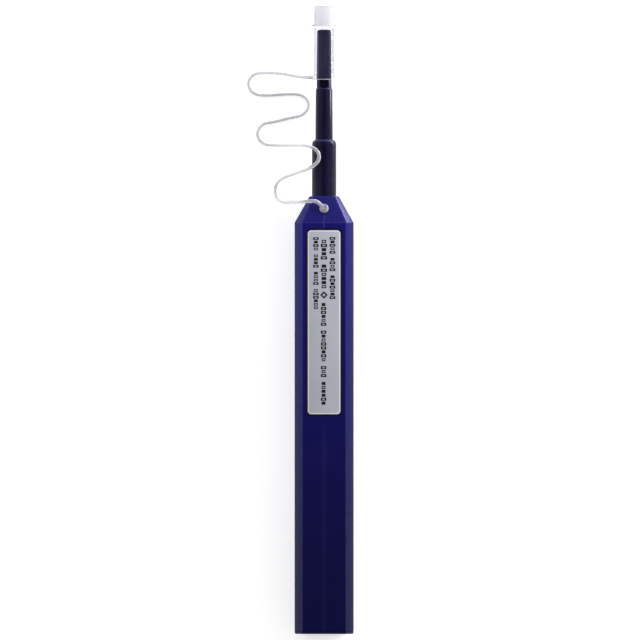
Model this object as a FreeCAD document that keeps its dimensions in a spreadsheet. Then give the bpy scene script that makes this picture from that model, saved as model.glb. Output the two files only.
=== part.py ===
import FreeCAD, Part
import Sketcher
import math
import os
import re

# Fibre connector cleaning pen. It lies on its back: X across, +Y towards the cap, label up (+Z).
# Every body is drawn in pen coordinates: X across, Y along the pen from its rear end and Z from
# the pen's axis. Its Placement then sets the rear end half a length back and the axis up.

Vector = FreeCAD.Vector
doc = FreeCAD.newDocument("CleaningPen")
sheet = doc.addObject("Spreadsheet::Sheet", "sizes")

SIZES = {
    # outer housing, an octagonal sleeve with a sloped shoulder
    "overall_length": 191.3,
    "body_width": 18.0,
    "body_chamfer": 2.2,
    "body_wall": 1.3,
    "edge_round": 0.35,
    "flange_thick": 0.8,
    "shoulder_start": 125.1,
    "shoulder_end": 133.2,
    "nose_width": 8.9,
    "nose_chamfer": 1.09,
    "cavity_end": 124.2,
    "stop_face": 126.5,
    "stop_bore": 10.3,
    # label in its shallow seat
    "label_width": 10.8,
    "label_length": 56.8,
    "label_start": 66.4,
    "label_round": 1.5,
    "label_thick": 0.2,
    "label_seat": 0.15,
    # moving front end
    "stroke": 9.0,
    "collar_width": 7.5,
    "collar_end": 150.4,
    "collar_round": 1.0,
    "collar_flange": 10.1,
    "spigot_start": 112.5,
    "spigot_width": 8.34,
    "nozzle_start": 138.2,
    "nozzle_root": 5.4,
    "nozzle_front": 5.15,
    "nozzle_end": 166.0,
    "nozzle_bore": 4.1,
    "sleeve_start": 152.0,
    "sleeve_tail": 4.02,
    "sleeve_root": 4.58,
    "sleeve_front": 4.3,
    "sleeve_end": 184.0,
    "sleeve_bore": 2.5,
    "mouth_bore": 1.6,
    # guide cap and its flip lid
    "cap_start": 168.7,
    "cap_rim_end": 170.0,
    "cap_rim_bore": 4.66,
    "cap_width": 6.2,
    "cap_wall": 0.5,
    "cap_disc_start": 184.25,
    "cap_disc_end": 184.85,
    "cap_disc_width": 6.6,
    "nipple_width": 2.7,
    "nipple_end": 188.5,
    "ferrule_bore": 1.3,
    "lid_start": 184.95,
    "lid_flange": 0.6,
    "lid_width": 6.5,
    "lid_wall": 0.6,
    "lid_round": 0.9,
    "hinge_place": 3.9,
    # carriage that carries the reels, and the barrel of the rotor
    "slide_gap": 0.15,
    "frame_start": 38.0,
    "frame_wall": 2.0,
    "frame_plate": 1.2,
    "bulkhead_start": 88.0,
    "bulkhead_end": 90.5,
    "barrel_width": 11.0,
    "barrel_bore": 8.4,
    "barrel_end": 123.9,
    "supply_place": 54.0,
    "takeup_place": 76.0,
    "reel_width": 12.0,
    "reel_core": 5.4,
    "reel_flange": 0.8,
    "post_width": 3.0,
    "post_gap": 0.08,
    # gear, rack and cam
    "gear_module": 0.6,
    "gear_teeth": 20,
    "gear_thick": 2.4,
    "gear_side": -5.9,
    "rail_width": 12.0,
    "rail_start": 7.6,
    "rail_end": 122.0,
    "rail_low": -8.2,
    "rail_high": -7.0,
    "peg_place": 96.0,
    "peg_width": 1.2,
    "peg_top": -2.7,
    "cam_lead": 18.0,
    "drum_start": 92.0,
    "drum_end": 109.5,
    "drum_width": 7.2,
    "groove_depth": 1.2,
    "groove_width": 2.3,
    "rotor_bore": 2.4,
    "rotor_shaft": 3.5,
    "rotor_end": 144.0,
    "journal_width": 3.8,
    # cleaning head
    "head_tail": 2.2,
    "head_start": 138.0,
    "head_flange": 3.6,
    "head_flange_start": 150.0,
    "head_rod": 2.3,
    "head_neck": 178.6,
    "head_tip": 1.25,
    "head_end": 183.6,
    # springs
    "spring_wire": 0.9,
    "spring_width": 9.4,
    "spring_start": 9.0,
    "spring_turns": 7,
    "head_spring_wire": 0.25,
    "head_spring_width": 3.15,
    "head_spring_turns": 6,
    # thread and tether
    "thread_width": 0.3,
    "tether_width": 0.85,
    "anchor_place": 129.2,
    "anchor_ball": 2.75,
    "anchor_seat": 2.95,
    "anchor_stem": 1.5,
}

for row, (alias, value) in enumerate(SIZES.items(), start=1):
    sheet.set(f"A{row}", alias)
    sheet.set(f"B{row}", str(value))
    sheet.setAlias(f"B{row}", alias)
doc.recompute()


def size(alias):
    """The value of one cell of the sheet."""
    return float(getattr(sheet, alias))


def formula(text):
    """A formula of the sheet's aliases, as an expression that FreeCAD reads."""
    return re.sub(r"[a-z]+(?:_[a-z]+)+|stroke", lambda word: "sizes." + word.group(0), str(text))


def fixed(item):
    """Puts a sub-part drawn in pen coordinates where the pen lies."""
    item.setExpression("Placement.Base.y", formula("-overall_length / 2"))
    item.setExpression("Placement.Base.z", formula("body_width / 2"))


def new_body(label, place=None):
    """A PartDesign body in pen coordinates or, with a place along the pen, lying across the pen."""
    body = doc.addObject("PartDesign::Body", label)
    body.Label = label
    fixed(body)
    if place:
        body.Placement = FreeCAD.Placement(Vector(), FreeCAD.Rotation(Vector(0, 0, 1), -90))
        body.setExpression("Placement.Base.y", formula(f"{place} - overall_length / 2"))
        body.setExpression("Placement.Base.z", formula("body_width / 2"))
    return body


def new_sketch(body, role, offset=0):
    """An empty sketch on one of the body's own planes, or level with it."""
    plane = next(item for item in body.Origin.OriginFeatures if item.Role == role)
    sketch = body.newObject("Sketcher::SketchObject", body.Name + "_sketch")
    sketch.AttachmentSupport = [(plane, "")]
    sketch.MapMode = "FlatFace"
    sketch.setExpression("AttachmentOffset.Base.z", formula(offset))
    return sketch


def draw_outline(sketch, points):
    """A closed outline whose corners are pairs of formulas."""
    first = sketch.GeometryCount
    count = len(points)
    ring = [Vector(math.cos(2 * math.pi * i / count), math.sin(2 * math.pi * i / count), 0)
            for i in range(count)]
    for i in range(count):
        sketch.addGeometry(Part.LineSegment(ring[i], ring[(i + 1) % count]), False)
    for i in range(count):
        after = first + (i + 1) % count
        sketch.addConstraint(Sketcher.Constraint("Coincident", first + i, 2, after, 1))
    for i, (across, along) in enumerate(points):
        for kind, start, text in (("DistanceX", ring[i].x, across), ("DistanceY", ring[i].y, along)):
            number = sketch.addConstraint(Sketcher.Constraint(kind, -1, 1, first + i, 1, start))
            sketch.setExpression(f"Constraints[{number}]", formula(text))


def draw_circle(sketch, across, along, radius):
    """A circle whose centre and radius are formulas."""
    circle = sketch.addGeometry(Part.Circle(Vector(1, 1, 0), Vector(0, 0, 1), 1), False)
    for kind, text in (("DistanceX", across), ("DistanceY", along)):
        number = sketch.addConstraint(Sketcher.Constraint(kind, -1, 1, circle, 3, 1.0))
        sketch.setExpression(f"Constraints[{number}]", formula(text))
    number = sketch.addConstraint(Sketcher.Constraint("Radius", circle, 1.0))
    sketch.setExpression(f"Constraints[{number}]", formula(radius))


def outline_or_circle(sketch, shape):
    """Draws a list of corners, or a circle given as its centre and radius."""
    if isinstance(shape, tuple):
        draw_circle(sketch, *shape)
    else:
        draw_outline(sketch, shape)


def checked(feature, body, before):
    """Stops the script where a feature failed, or left the body's volume as it was."""
    doc.recompute()
    if "Up-to-date" not in feature.State or feature.Shape.isNull() or not feature.Shape.isValid():
        raise RuntimeError(f"{feature.Label} of {body.Label} failed: {feature.State}")
    if abs(feature.Shape.Volume - before) < 1e-4:
        raise RuntimeError(f"{feature.Label} of {body.Label} changed nothing")
    return feature


def volume_of(body):
    """The volume of the body so far."""
    return body.Tip.Shape.Volume if body.Tip else 0.0


def extrude(body, shape, plane, start, end, cut=False):
    """Pads or pockets a shape from start to end along the normal axis of a plane."""
    before = volume_of(body)
    along_pen = plane == "XZ_Plane"
    sketch = new_sketch(body, plane, f"-({start})" if along_pen else start)
    outline_or_circle(sketch, shape)
    feature = body.newObject("PartDesign::Pocket" if cut else "PartDesign::Pad", body.Name + "_step")
    feature.Profile = sketch
    feature.setExpression("Length", formula(f"({end}) - ({start})"))
    feature.Reversed = along_pen != cut
    return checked(feature, body, before)


def turn(body, points, cut=False):
    """Revolves an outline of (radius, distance) corners about the body's long axis."""
    before = volume_of(body)
    sketch = new_sketch(body, "XY_Plane")
    draw_outline(sketch, points)
    kind = "PartDesign::Groove" if cut else "PartDesign::Revolution"
    feature = body.newObject(kind, body.Name + "_turned")
    feature.Profile = sketch
    feature.ReferenceAxis = (sketch, ["V_Axis"])
    feature.Angle = 360
    return checked(feature, body, before)


def soften(body, kind, amount, wanted):
    """Rounds or chamfers the edges of the body that the test wanted picks."""
    before = volume_of(body)
    base = body.Tip
    names = [f"Edge{i}" for i, edge in enumerate(base.Shape.Edges, start=1) if wanted(edge)]
    feature = body.newObject(f"PartDesign::{kind}", f"{body.Name}_{kind}")
    feature.Base = (base, names)
    feature.setExpression("Radius" if kind == "Fillet" else "Size", formula(amount))
    return checked(feature, body, before)


def octagon(width, chamfer):
    """The corners of a square with its corners cut at 45 degrees."""
    half = f"({width}) / 2"
    inner = f"(({width}) / 2 - ({chamfer}))"
    return [(half, inner), (inner, half), (f"-{inner}", half), (f"-({half})", inner),
            (f"-({half})", f"-{inner}"), (f"-{inner}", f"-({half})"), (inner, f"-({half})"),
            (half, f"-{inner}")]


def box(left, right, low, high):
    """The corners of a rectangle."""
    return [(left, low), (right, low), (right, high), (left, high)]


# ---- outer housing: sleeve, shoulder, cavity, collar bore, label seat and tether hole ----

def build_housing():
    body = new_body("outer_housing")
    extrude(body, octagon("body_width", "body_chamfer"), "XZ_Plane", "flange_thick", "shoulder_start")

    before = volume_of(body)
    wide = new_sketch(body, "XZ_Plane", "-shoulder_start")
    draw_outline(wide, octagon("body_width", "body_chamfer"))
    narrow = new_sketch(body, "XZ_Plane", "-shoulder_end")
    draw_outline(narrow, octagon("nose_width", "nose_chamfer"))
    shoulder = body.newObject("PartDesign::AdditiveLoft", "shoulder")
    shoulder.Profile = wide
    shoulder.Sections = [(narrow, [""])]
    shoulder.Ruled = True
    checked(shoulder, body, before)

    def outer_edge(edge):
        ends = [vertex.Point for vertex in edge.Vertexes]
        return len(ends) == 2 and min(end.y for end in ends) < size("shoulder_start") - 1 \
            and max(end.y for end in ends) > size("shoulder_start") - 0.01
    soften(body, "Fillet", "edge_round", outer_edge)

    inside = octagon("body_width - 2 * body_wall", "body_chamfer - 0.586 * body_wall")
    extrude(body, inside, "XZ_Plane", "flange_thick", "cavity_end", cut=True)
    extrude(body, ("0", "0", "stop_bore / 2"), "XZ_Plane", "cavity_end", "stop_face", cut=True)
    extrude(body, ("0", "0", "collar_width / 2 + 0.07"), "XZ_Plane", "stop_face", "shoulder_end",
            cut=True)
    channel = box("-rail_width / 2 - 0.1", "rail_width / 2 + 0.1", "rail_low", "rail_high")
    extrude(body, channel, "XZ_Plane", "flange_thick", "rail_end + 0.4", cut=True)

    seat = label_outline(0.15)
    extrude(body, seat, "XY_Plane", "body_width / 2 - label_seat", "body_width / 2 + 1", cut=True)
    tether_hole(body, "anchor_seat / 2", "-0.95")
    tether_hole(body, "anchor_stem / 2 + 0.08", "-2.3")
    return body


def label_outline(margin):
    """The label's rounded rectangle, its corners as two short cuts each, grown by a margin."""
    half = f"(label_width / 2 + {margin})"
    low = f"(label_start - {margin})"
    high = f"(label_start + label_length + {margin})"
    near = "(label_round * 0.293)"
    corners = []
    for side, end, order in ((1, low, 1), (1, high, 0), (-1, high, 1), (-1, low, 0)):
        inward = "+" if end == low else "-"
        steps = [(f"{side} * ({half} - label_round)", end),
                 (f"{side} * ({half} - {near})", f"{end} {inward} {near}"),
                 (f"{side} * {half}", f"{end} {inward} label_round")]
        corners += steps if order else steps[::-1]
    return corners


def tether_hole(body, radius, floor):
    """A round hole square to the shoulder's upper slope, down to a floor under that slope."""
    before = volume_of(body)
    sketch = new_sketch(body, "XY_Plane")
    fall = "(body_width - nose_width) / 2 / (shoulder_end - shoulder_start)"
    height = f"body_width / 2 - {fall} * (anchor_place - shoulder_start)"
    sketch.AttachmentOffset = FreeCAD.Placement(Vector(), FreeCAD.Rotation(Vector(1, 0, 0), -29))
    sketch.setExpression("AttachmentOffset.Rotation.Angle", formula(f"-atan({fall})"))
    sketch.setExpression("AttachmentOffset.Base.y", formula(f"anchor_place + sin(atan({fall})) * ({floor})"))
    sketch.setExpression("AttachmentOffset.Base.z", formula(f"{height} + cos(atan({fall})) * ({floor})"))
    draw_circle(sketch, "0", "0", radius)
    hole = body.newObject("PartDesign::Pocket", "tether_hole")
    hole.Profile = sketch
    hole.Length = 4
    hole.Reversed = True
    return checked(hole, body, before)


def build_end_plug():
    """Rear plug: a thin rounded flange, a hollow spigot and the boss that centres the spring."""
    body = new_body("end_plug")
    extrude(body, octagon("body_width - 0.1", "body_chamfer"), "XZ_Plane", "0", "flange_thick")
    soften(body, "Fillet", "0.5", lambda edge: edge.BoundBox.YMax < 0.01)
    spigot = octagon("body_width - 2 * body_wall - 0.1", "body_chamfer - 0.586 * body_wall")
    extrude(body, spigot, "XZ_Plane", "flange_thick", "7.3")
    hollow = octagon("body_width - 2 * body_wall - 2.6", "1.0")
    extrude(body, hollow, "XZ_Plane", "2.4", "7.3", cut=True)
    extrude(body, ("0", "0", "spring_width / 2 + 1"), "XZ_Plane", "2.4", "spring_start")
    extrude(body, ("0", "0", "spring_width / 2 - spring_wire - 0.3"), "XZ_Plane", "spring_start", "12")
    extrude(body, ("0", "0", "2.4"), "XZ_Plane", "4", "12", cut=True)
    return body


def build_label():
    body = new_body("label")
    extrude(body, label_outline(0), "XY_Plane", "body_width / 2 - label_seat",
            "body_width / 2 - label_seat + label_thick")
    return body


def build_rack_rail():
    """Rail in the housing's back wall: the rack that turns the gear, and the cam peg."""
    body = new_body("rack_rail")
    extrude(body, box("-rail_width / 2", "rail_width / 2", "rail_low", "rail_high"), "XZ_Plane",
            "rail_start", "rail_end")
    pitch = "(3.14159265 * gear_module)"
    root = "(-gear_module * gear_teeth / 2 - 1.25 * gear_module)"
    tip = "(-gear_module * gear_teeth / 2 + gear_module)"
    rack_start = f"(takeup_place - 8.25 * {pitch})"
    side = ("gear_side - 0.1", "gear_side + gear_thick + 0.1")
    foot = box(rack_start, f"{rack_start} + 9.5 * {pitch}", "rail_high - 0.2", root)
    extrude(body, foot, "YZ_Plane", *side)
    # a tooth of the 20 degree rack, thinned by 0.05 mm of play on each flank
    lean = "0.36397"
    centre = f"(takeup_place - 7.5 * {pitch})"
    at_root = f"({pitch} / 4 + 1.25 * gear_module * {lean} - 0.05)"
    at_tip = f"({pitch} / 4 - gear_module * {lean} - 0.05)"
    tooth = [(f"{centre} - {at_root}", f"{root} - 0.1"), (f"{centre} + {at_root}", f"{root} - 0.1"),
             (f"{centre} + {at_root}", root), (f"{centre} + {at_tip}", tip),
             (f"{centre} - {at_tip}", tip), (f"{centre} - {at_root}", root)]
    first = extrude(body, tooth, "YZ_Plane", *side)
    teeth = body.newObject("PartDesign::LinearPattern", "rack_teeth")
    teeth.Originals = [first]
    direction = next(item for item in body.Origin.OriginFeatures if item.Role == "Y_Axis")
    teeth.Direction = (direction, [""])
    teeth.setExpression("Length", formula(f"8 * {pitch}"))
    teeth.Occurrences = 9
    body.Tip = teeth
    doc.recompute()
    extrude(body, ("0", "peg_place", "peg_width / 2"), "XY_Plane", "rail_high", "peg_top")
    return body


# ---- carriage: frame with its side cover, collar, nozzle and tip sleeve ----

def build_core_frame():
    body = new_body("core_frame")
    half = "(body_width / 2 - body_wall - slide_gap)"
    thin = "frame_plate"
    section = [(f"-{half}", "-5.6"), (f"-{half}", f"{half} - 1.35"), (f"-{half} + 1.35", half),
               (f"{half} - 1.35", half), (f"{half} - 1.35", f"{half} - 0.75"),
               (f"-{half} + {thin} + 0.5", f"{half} - 0.75"), (f"-{half} + {thin}", f"{half} - 1.35"),
               (f"-{half} + {thin}", "-5.6")]
    extrude(body, section, "XZ_Plane", "frame_start", "bulkhead_start")
    wall = [(f"-{half}", "-5.6"), (f"-{half}", f"{half} - 1.35"), (f"-{half} + 1.35", half),
            (f"{half} - 1.35", half), (half, f"{half} - 1.35"), (half, "-5.6"), (f"{half} - 1", "-6.6"),
            (f"-{half} + 1", "-6.6")]
    extrude(body, wall, "XZ_Plane", "frame_start", "frame_start + frame_wall")
    extrude(body, wall, "XZ_Plane", "bulkhead_start", "bulkhead_end")
    extrude(body, ("0", "0", "spring_width / 2 - spring_wire - 0.3"), "XZ_Plane",
            "frame_start - 2.5", "frame_start")
    extrude(body, ("0", "0", "barrel_width / 2"), "XZ_Plane", "bulkhead_end", "barrel_end")
    extrude(body, ("0", "0", "barrel_bore / 2"), "XZ_Plane", "bulkhead_end + 0.5", "barrel_end",
            cut=True)
    extrude(body, ("0", "0", "journal_width / 2 + 0.06"), "XZ_Plane", "bulkhead_start - 0.5",
            "bulkhead_end + 0.5", cut=True)
    # slot for the cam peg, as long as the stroke
    slot = box("-peg_width / 2 - 0.3", "peg_width / 2 + 0.3", "peg_place - peg_width / 2 - 0.4",
               "peg_place + stroke + peg_width / 2 + 0.4")
    extrude(body, slot, "XY_Plane", "-barrel_width / 2 - 1", "-2", cut=True)
    # hollow posts for the reels, and the pin that leads the fresh thread over the take-up reel
    for place in ("supply_place", "takeup_place"):
        extrude(body, (place, "0", "post_width / 2"), "YZ_Plane", f"-{half} + {thin} - 0.2", "6.2")
        extrude(body, (place, "0", "post_width / 2 - 0.5"), "YZ_Plane", "1", "6.4", cut=True)
    extrude(body, ("bulkhead_start - 4.1", "5.2", "0.6"), "YZ_Plane", f"-{half} + {thin} - 0.2", "6.2")
    # weight-saving windows in the side plate beside the reels
    for place in ("supply_place", "takeup_place"):
        window = box(f"{place} - 4.5", f"{place} + 4.5", "-4.6", "-2.4")
        extrude(body, window, "YZ_Plane", f"-{half} - 1", "-6", cut=True)
    return body


def build_frame_cover():
    """The carriage's second side plate, with the spring tongue of the anti-reverse pawl."""
    body = new_body("frame_cover")
    low = "(body_width / 2 - body_wall - slide_gap - frame_plate)"
    high = "(body_width / 2 - body_wall - slide_gap)"
    plate = [("frame_start + frame_wall + 0.05", "-5.6"), ("bulkhead_start - 0.05", "-5.6"),
             ("bulkhead_start - 0.05", "6.0"), ("frame_start + frame_wall + 0.05", "6.0")]
    extrude(body, plate, "YZ_Plane", low, high)
    for place in ("supply_place", "takeup_place"):
        extrude(body, (place, "0", "post_width / 2 - 0.55"), "YZ_Plane", "3.0", low)
    # a U-shaped cut frees the tongue, which carries the pawl tooth
    outer = box("takeup_place - 9.2", "takeup_place - 1.5", "-5.2", "-3.0")
    inner = box("takeup_place - 9.2", "takeup_place - 2.1", "-4.7", "-3.5")
    extrude(body, outer, "YZ_Plane", low, high + " + 0.5", cut=True)
    extrude(body, inner, "YZ_Plane", low, high)
    return body


def build_collar():
    body = new_body("collar_sleeve")
    turn(body, [("rotor_shaft / 2 + 0.08", "spigot_start"), ("spigot_width / 2 - 0.3", "spigot_start"),
                ("spigot_width / 2", "spigot_start + 0.6"), ("spigot_width / 2", "barrel_end + 0.1"),
                ("collar_flange / 2", "barrel_end + 0.1"), ("collar_flange / 2", "stop_face - 0.1"),
                ("collar_width / 2", "stop_face - 0.1"), ("collar_width / 2", "collar_end"),
                ("nozzle_root / 2 + 0.02", "collar_end"), ("nozzle_root / 2 + 0.02", "nozzle_start"),
                ("rotor_shaft / 2 + 0.08", "nozzle_start")])

    def front_rim(edge):
        return edge.BoundBox.YMin > size("collar_end") - 0.01 and edge.BoundBox.XMax > 3.5
    soften(body, "Fillet", "collar_round", front_rim)
    return body


def build_nozzle():
    body = new_body("nozzle_tube")
    turn(body, [("nozzle_bore / 2", "nozzle_start + 0.05"), ("nozzle_root / 2 - 0.02", "nozzle_start + 0.05"),
                ("nozzle_root / 2 - 0.02", "collar_end"), ("nozzle_front / 2", "nozzle_end - 0.25"),
                ("nozzle_front / 2 - 0.2", "nozzle_end"), ("nozzle_bore / 2", "nozzle_end")])
    return body


def build_tip_sleeve():
    body = new_body("tip_sleeve")
    turn(body, [("sleeve_bore / 2", "sleeve_start"), ("sleeve_tail / 2", "sleeve_start"),
                ("sleeve_tail / 2", "nozzle_end"), ("sleeve_root / 2", "nozzle_end"),
                ("sleeve_front / 2", "sleeve_end"), ("mouth_bore / 2", "sleeve_end"),
                ("mouth_bore / 2", "sleeve_end - 2.4"), ("sleeve_bore / 2", "sleeve_end - 3.4")])

    def front_rim(edge):
        return edge.BoundBox.YMin > size("sleeve_end") - 0.01 and edge.BoundBox.XMax > 2
    soften(body, "Fillet", "0.6", front_rim)
    # U-shaped key recess behind the cap's rim
    recess = [("-1.45", "nozzle_end + 2.8"), ("-1.45", "nozzle_end + 1.2"), ("-1.1", "nozzle_end + 0.5"),
              ("-0.5", "nozzle_end + 0.15"), ("0.5", "nozzle_end + 0.15"), ("1.1", "nozzle_end + 0.5"),
              ("1.45", "nozzle_end + 1.2"), ("1.45", "nozzle_end + 2.8")]
    extrude(body, recess, "XY_Plane", "sleeve_root / 2 - 0.38", "sleeve_root / 2 + 1", cut=True)
    return body


# ---- reels, gear and thread rolls, drawn about their own axis and laid across the pen ----

def build_reel(label, place, near, far, ratchet):
    body = new_body(label, place)
    bore = "post_width / 2 + post_gap"
    edge = "reel_width / 2"
    core = "reel_core / 2"
    turn(body, [(bore, near), (edge, near), (edge, f"({near}) + reel_flange"),
                (core, f"({near}) + reel_flange"), (core, f"({far}) - reel_flange"),
                (edge, f"({far}) - reel_flange"), (edge, far), (bore, far)])
    if ratchet:
        # saw teeth round the outer flange, which the tongue of the cover stops
        notch = [("reel_width / 2 + 0.3", "-0.9"), ("reel_width / 2 + 0.3", "0.05"),
                 ("reel_width / 2 - 0.7", "0.0"), ("reel_width / 2 - 0.05", "-0.9")]
        first = extrude(body, notch, "XZ_Plane", f"({far}) - reel_flange - 0.1", f"({far}) + 0.1", cut=True)
        teeth = body.newObject("PartDesign::PolarPattern", "ratchet_teeth")
        teeth.Originals = [first]
        axis = next(item for item in body.Origin.OriginFeatures if item.Role == "Y_Axis")
        teeth.Axis = (axis, [""])
        teeth.Angle = 360
        teeth.Occurrences = 24
        body.Tip = teeth
        doc.recompute()
    return body


def build_thread_roll(label, place, near, far, radius):
    body = new_body(label, place)
    core = "reel_core / 2 + 0.02"
    low = f"({near}) + reel_flange + 0.03"
    high = f"({far}) - reel_flange - 0.03"
    turn(body, [(core, low), (radius, f"{low} + 0.15"), (radius, f"{high} - 0.15"), (core, high)])
    return body


def build_drive_gear():
    """Involute gear, 20 degree pressure angle, with the hub that carries the reel round."""
    module = size("gear_module")
    teeth = int(size("gear_teeth"))
    pitch_radius = module * teeth / 2
    base_radius = pitch_radius * math.cos(math.radians(20))
    tip_radius = pitch_radius + module
    root_radius = pitch_radius - 1.25 * module
    play = 0.05 / pitch_radius
    half_tooth = math.pi / (2 * teeth) - play + math.tan(math.radians(20)) - math.radians(20)

    def involute(roll, mirror):
        radius = base_radius * math.hypot(1, roll)
        angle = mirror * (half_tooth - (roll - math.atan(roll)))
        return radius, angle

    def at(radius, angle):
        return Vector(radius * math.cos(angle), 0, radius * math.sin(angle))

    last_roll = math.sqrt((tip_radius / base_radius) ** 2 - 1)
    rolls = [last_roll * share for share in (0, 0.35, 0.6, 0.8, 1)]
    step = 2 * math.pi / teeth
    edges = []
    for number in range(teeth):
        # a tooth points straight down at the rack at rest
        middle = -math.pi / 2 + number * step
        left = [at(radius, middle + angle) for radius, angle in (involute(roll, -1) for roll in rolls)]
        right = [at(radius, middle + angle) for radius, angle in (involute(roll, 1) for roll in rolls)]
        foot_left = at(root_radius, middle - half_tooth)
        foot_right = at(root_radius, middle + half_tooth)
        next_foot = at(root_radius, middle + step - half_tooth)
        flank_in = Part.BSplineCurve()
        flank_in.interpolate(left)
        flank_out = Part.BSplineCurve()
        flank_out.interpolate(right[::-1])
        edges += [Part.LineSegment(foot_left, left[0]).toShape(), flank_in.toShape(),
                  Part.Arc(left[-1], at(tip_radius, middle), right[-1]).toShape(), flank_out.toShape(),
                  Part.LineSegment(right[0], foot_right).toShape(),
                  Part.Arc(foot_right, at(root_radius, middle + step / 2), next_foot).toShape()]
    outline = Part.Wire(edges)
    side = size("gear_side")
    thick = size("gear_thick")
    blank = Part.Face(outline).extrude(Vector(0, thick, 0))
    blank.translate(Vector(0, side, 0))
    along = Vector(0, 1, 0)
    hub = Part.makeCylinder(2.6, thick + 0.7, Vector(0, side, 0), along)
    bore = Part.makeCylinder(size("post_width") / 2 + size("post_gap"), thick + 4,
                             Vector(0, side - 1, 0), along)
    lightening = [Part.makeCylinder(0.7, thick + 2, at(3.85, math.pi / 3 * i) + Vector(0, side - 1, 0), along)
                  for i in range(6)]
    gear = doc.addObject("Part::Feature", "drive_gear")
    gear.Shape = blank.fuse(hub).cut(bore).cut(Part.makeCompound(lightening)).removeSplitter()
    gear.Placement = FreeCAD.Placement(
        Vector(0, size("takeup_place") - size("overall_length") / 2, size("body_width") / 2),
        FreeCAD.Rotation(Vector(0, 0, 1), -90))
    return gear


# ---- rotor with its helical cam groove, and the sprung cleaning head ----

def build_rotor():
    body = new_body("rotor_shaft")
    journal = "journal_width / 2"
    turn(body, [("rotor_bore / 2", "bulkhead_start - 0.4"), (journal, "bulkhead_start - 0.4"),
                (journal, "bulkhead_end + 0.7"), ("drum_width / 2 - 0.3", "drum_start - 0.3"),
                ("drum_width / 2", "drum_start"), ("drum_width / 2", "drum_end"),
                ("drum_width / 2 - 0.3", "drum_end + 0.3"), ("rotor_shaft / 2 + 0.5", "drum_end + 1.2"),
                ("rotor_shaft / 2", "drum_end + 1.8"), ("rotor_shaft / 2", "rotor_end"),
                ("rotor_bore / 2", "rotor_end")])
    # the groove starts under the peg, on the drum's lower side, and turns half a turn in the stroke
    before = volume_of(body)
    sketch = new_sketch(body, "YZ_Plane")
    start = "peg_place - groove_width / 2"
    draw_outline(sketch, [(start, "-drum_width / 2 - 0.8"), (f"{start} + groove_width", "-drum_width / 2 - 0.8"),
                          (f"{start} + groove_width", "-drum_width / 2 + groove_depth"),
                          (start, "-drum_width / 2 + groove_depth")])
    groove = body.newObject("PartDesign::SubtractiveHelix", "cam_groove")
    groove.Profile = sketch
    groove.ReferenceAxis = (sketch, ["H_Axis"])
    groove.Mode = 0
    groove.setExpression("Pitch", formula("cam_lead"))
    groove.setExpression("Height", formula("stroke"))
    groove.LeftHanded = False
    checked(groove, body, before)
    # a round pocket at either end, where the peg rests
    rest = "peg_width / 2 + 0.12"
    extrude(body, ("0", "peg_place", rest), "XY_Plane", "-drum_width / 2 - 1",
            "-drum_width / 2 + groove_depth", cut=True)
    extrude(body, ("0", "peg_place + stroke", rest), "XY_Plane", "drum_width / 2 - groove_depth",
            "drum_width / 2 + 1", cut=True)
    return body


def build_head():
    body = new_body("cleaning_head")
    turn(body, [("0", "head_start"), ("head_tail / 2", "head_start"), ("head_tail / 2", "head_flange_start"),
                ("head_flange / 2", "head_flange_start"), ("head_flange / 2", "head_flange_start + 1"),
                ("head_rod / 2", "head_flange_start + 1.2"), ("head_rod / 2", "head_neck"),
                ("head_tip / 2", "head_neck + 1.2"), ("head_tip / 2", "head_end"), ("0", "head_end")])
    # flats that lead the thread forward and back on either side
    for side in ("", "-"):
        outer, inner = (f"{side}3", f"{side}0.62") if side else ("0.62", "3")
        extrude(body, box(outer, inner, "head_start - 1", "head_neck + 0.9"), "XY_Plane", "-0.25", "0.25",
                cut=True)
        outer, inner = (f"{side}3", f"{side}0.3") if side else ("0.3", "3")
        extrude(body, box(outer, inner, "head_neck", "head_end + 1"), "XY_Plane", "-0.2", "0.2", cut=True)
    extrude(body, box("-1", "1", "head_end - 0.2", "head_end + 1"), "XY_Plane", "-0.2", "0.2", cut=True)
    return body


# ---- guide cap with the ferrule guide, and the flip lid ----

def build_guide_cap():
    body = new_body("guide_cap")
    inner = "cap_width / 2 - cap_wall"
    turn(body, [("cap_rim_bore / 2", "cap_start"), ("cap_width / 2 - 0.1", "cap_start"),
                ("cap_width / 2", "cap_start + 0.1"), ("cap_width / 2", "cap_disc_start"),
                ("cap_disc_width / 2", "cap_disc_start"), ("cap_disc_width / 2", "cap_disc_end"),
                ("nipple_width / 2", "cap_disc_end"), ("nipple_width / 2", "nipple_end - 0.2"),
                ("nipple_width / 2 - 0.2", "nipple_end"), ("ferrule_bore / 2 + 0.3", "nipple_end"),
                ("ferrule_bore / 2", "nipple_end - 0.5"), ("ferrule_bore / 2", "cap_disc_start"),
                (inner, "cap_disc_start"), (inner, "cap_rim_end + 0.3"),
                ("cap_rim_bore / 2", "cap_rim_end")])
    # hinge lug on the right and the stub that the tether springs from on the left
    extrude(body, box("2.9", "hinge_place", "-1.2", "1.2"), "XZ_Plane", "cap_disc_start", "cap_disc_end")
    extrude(body, ("cap_start + 0.7", "0", "0.6"), "YZ_Plane", "-4.2", "-cap_width / 2 + 0.3")
    return body


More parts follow.
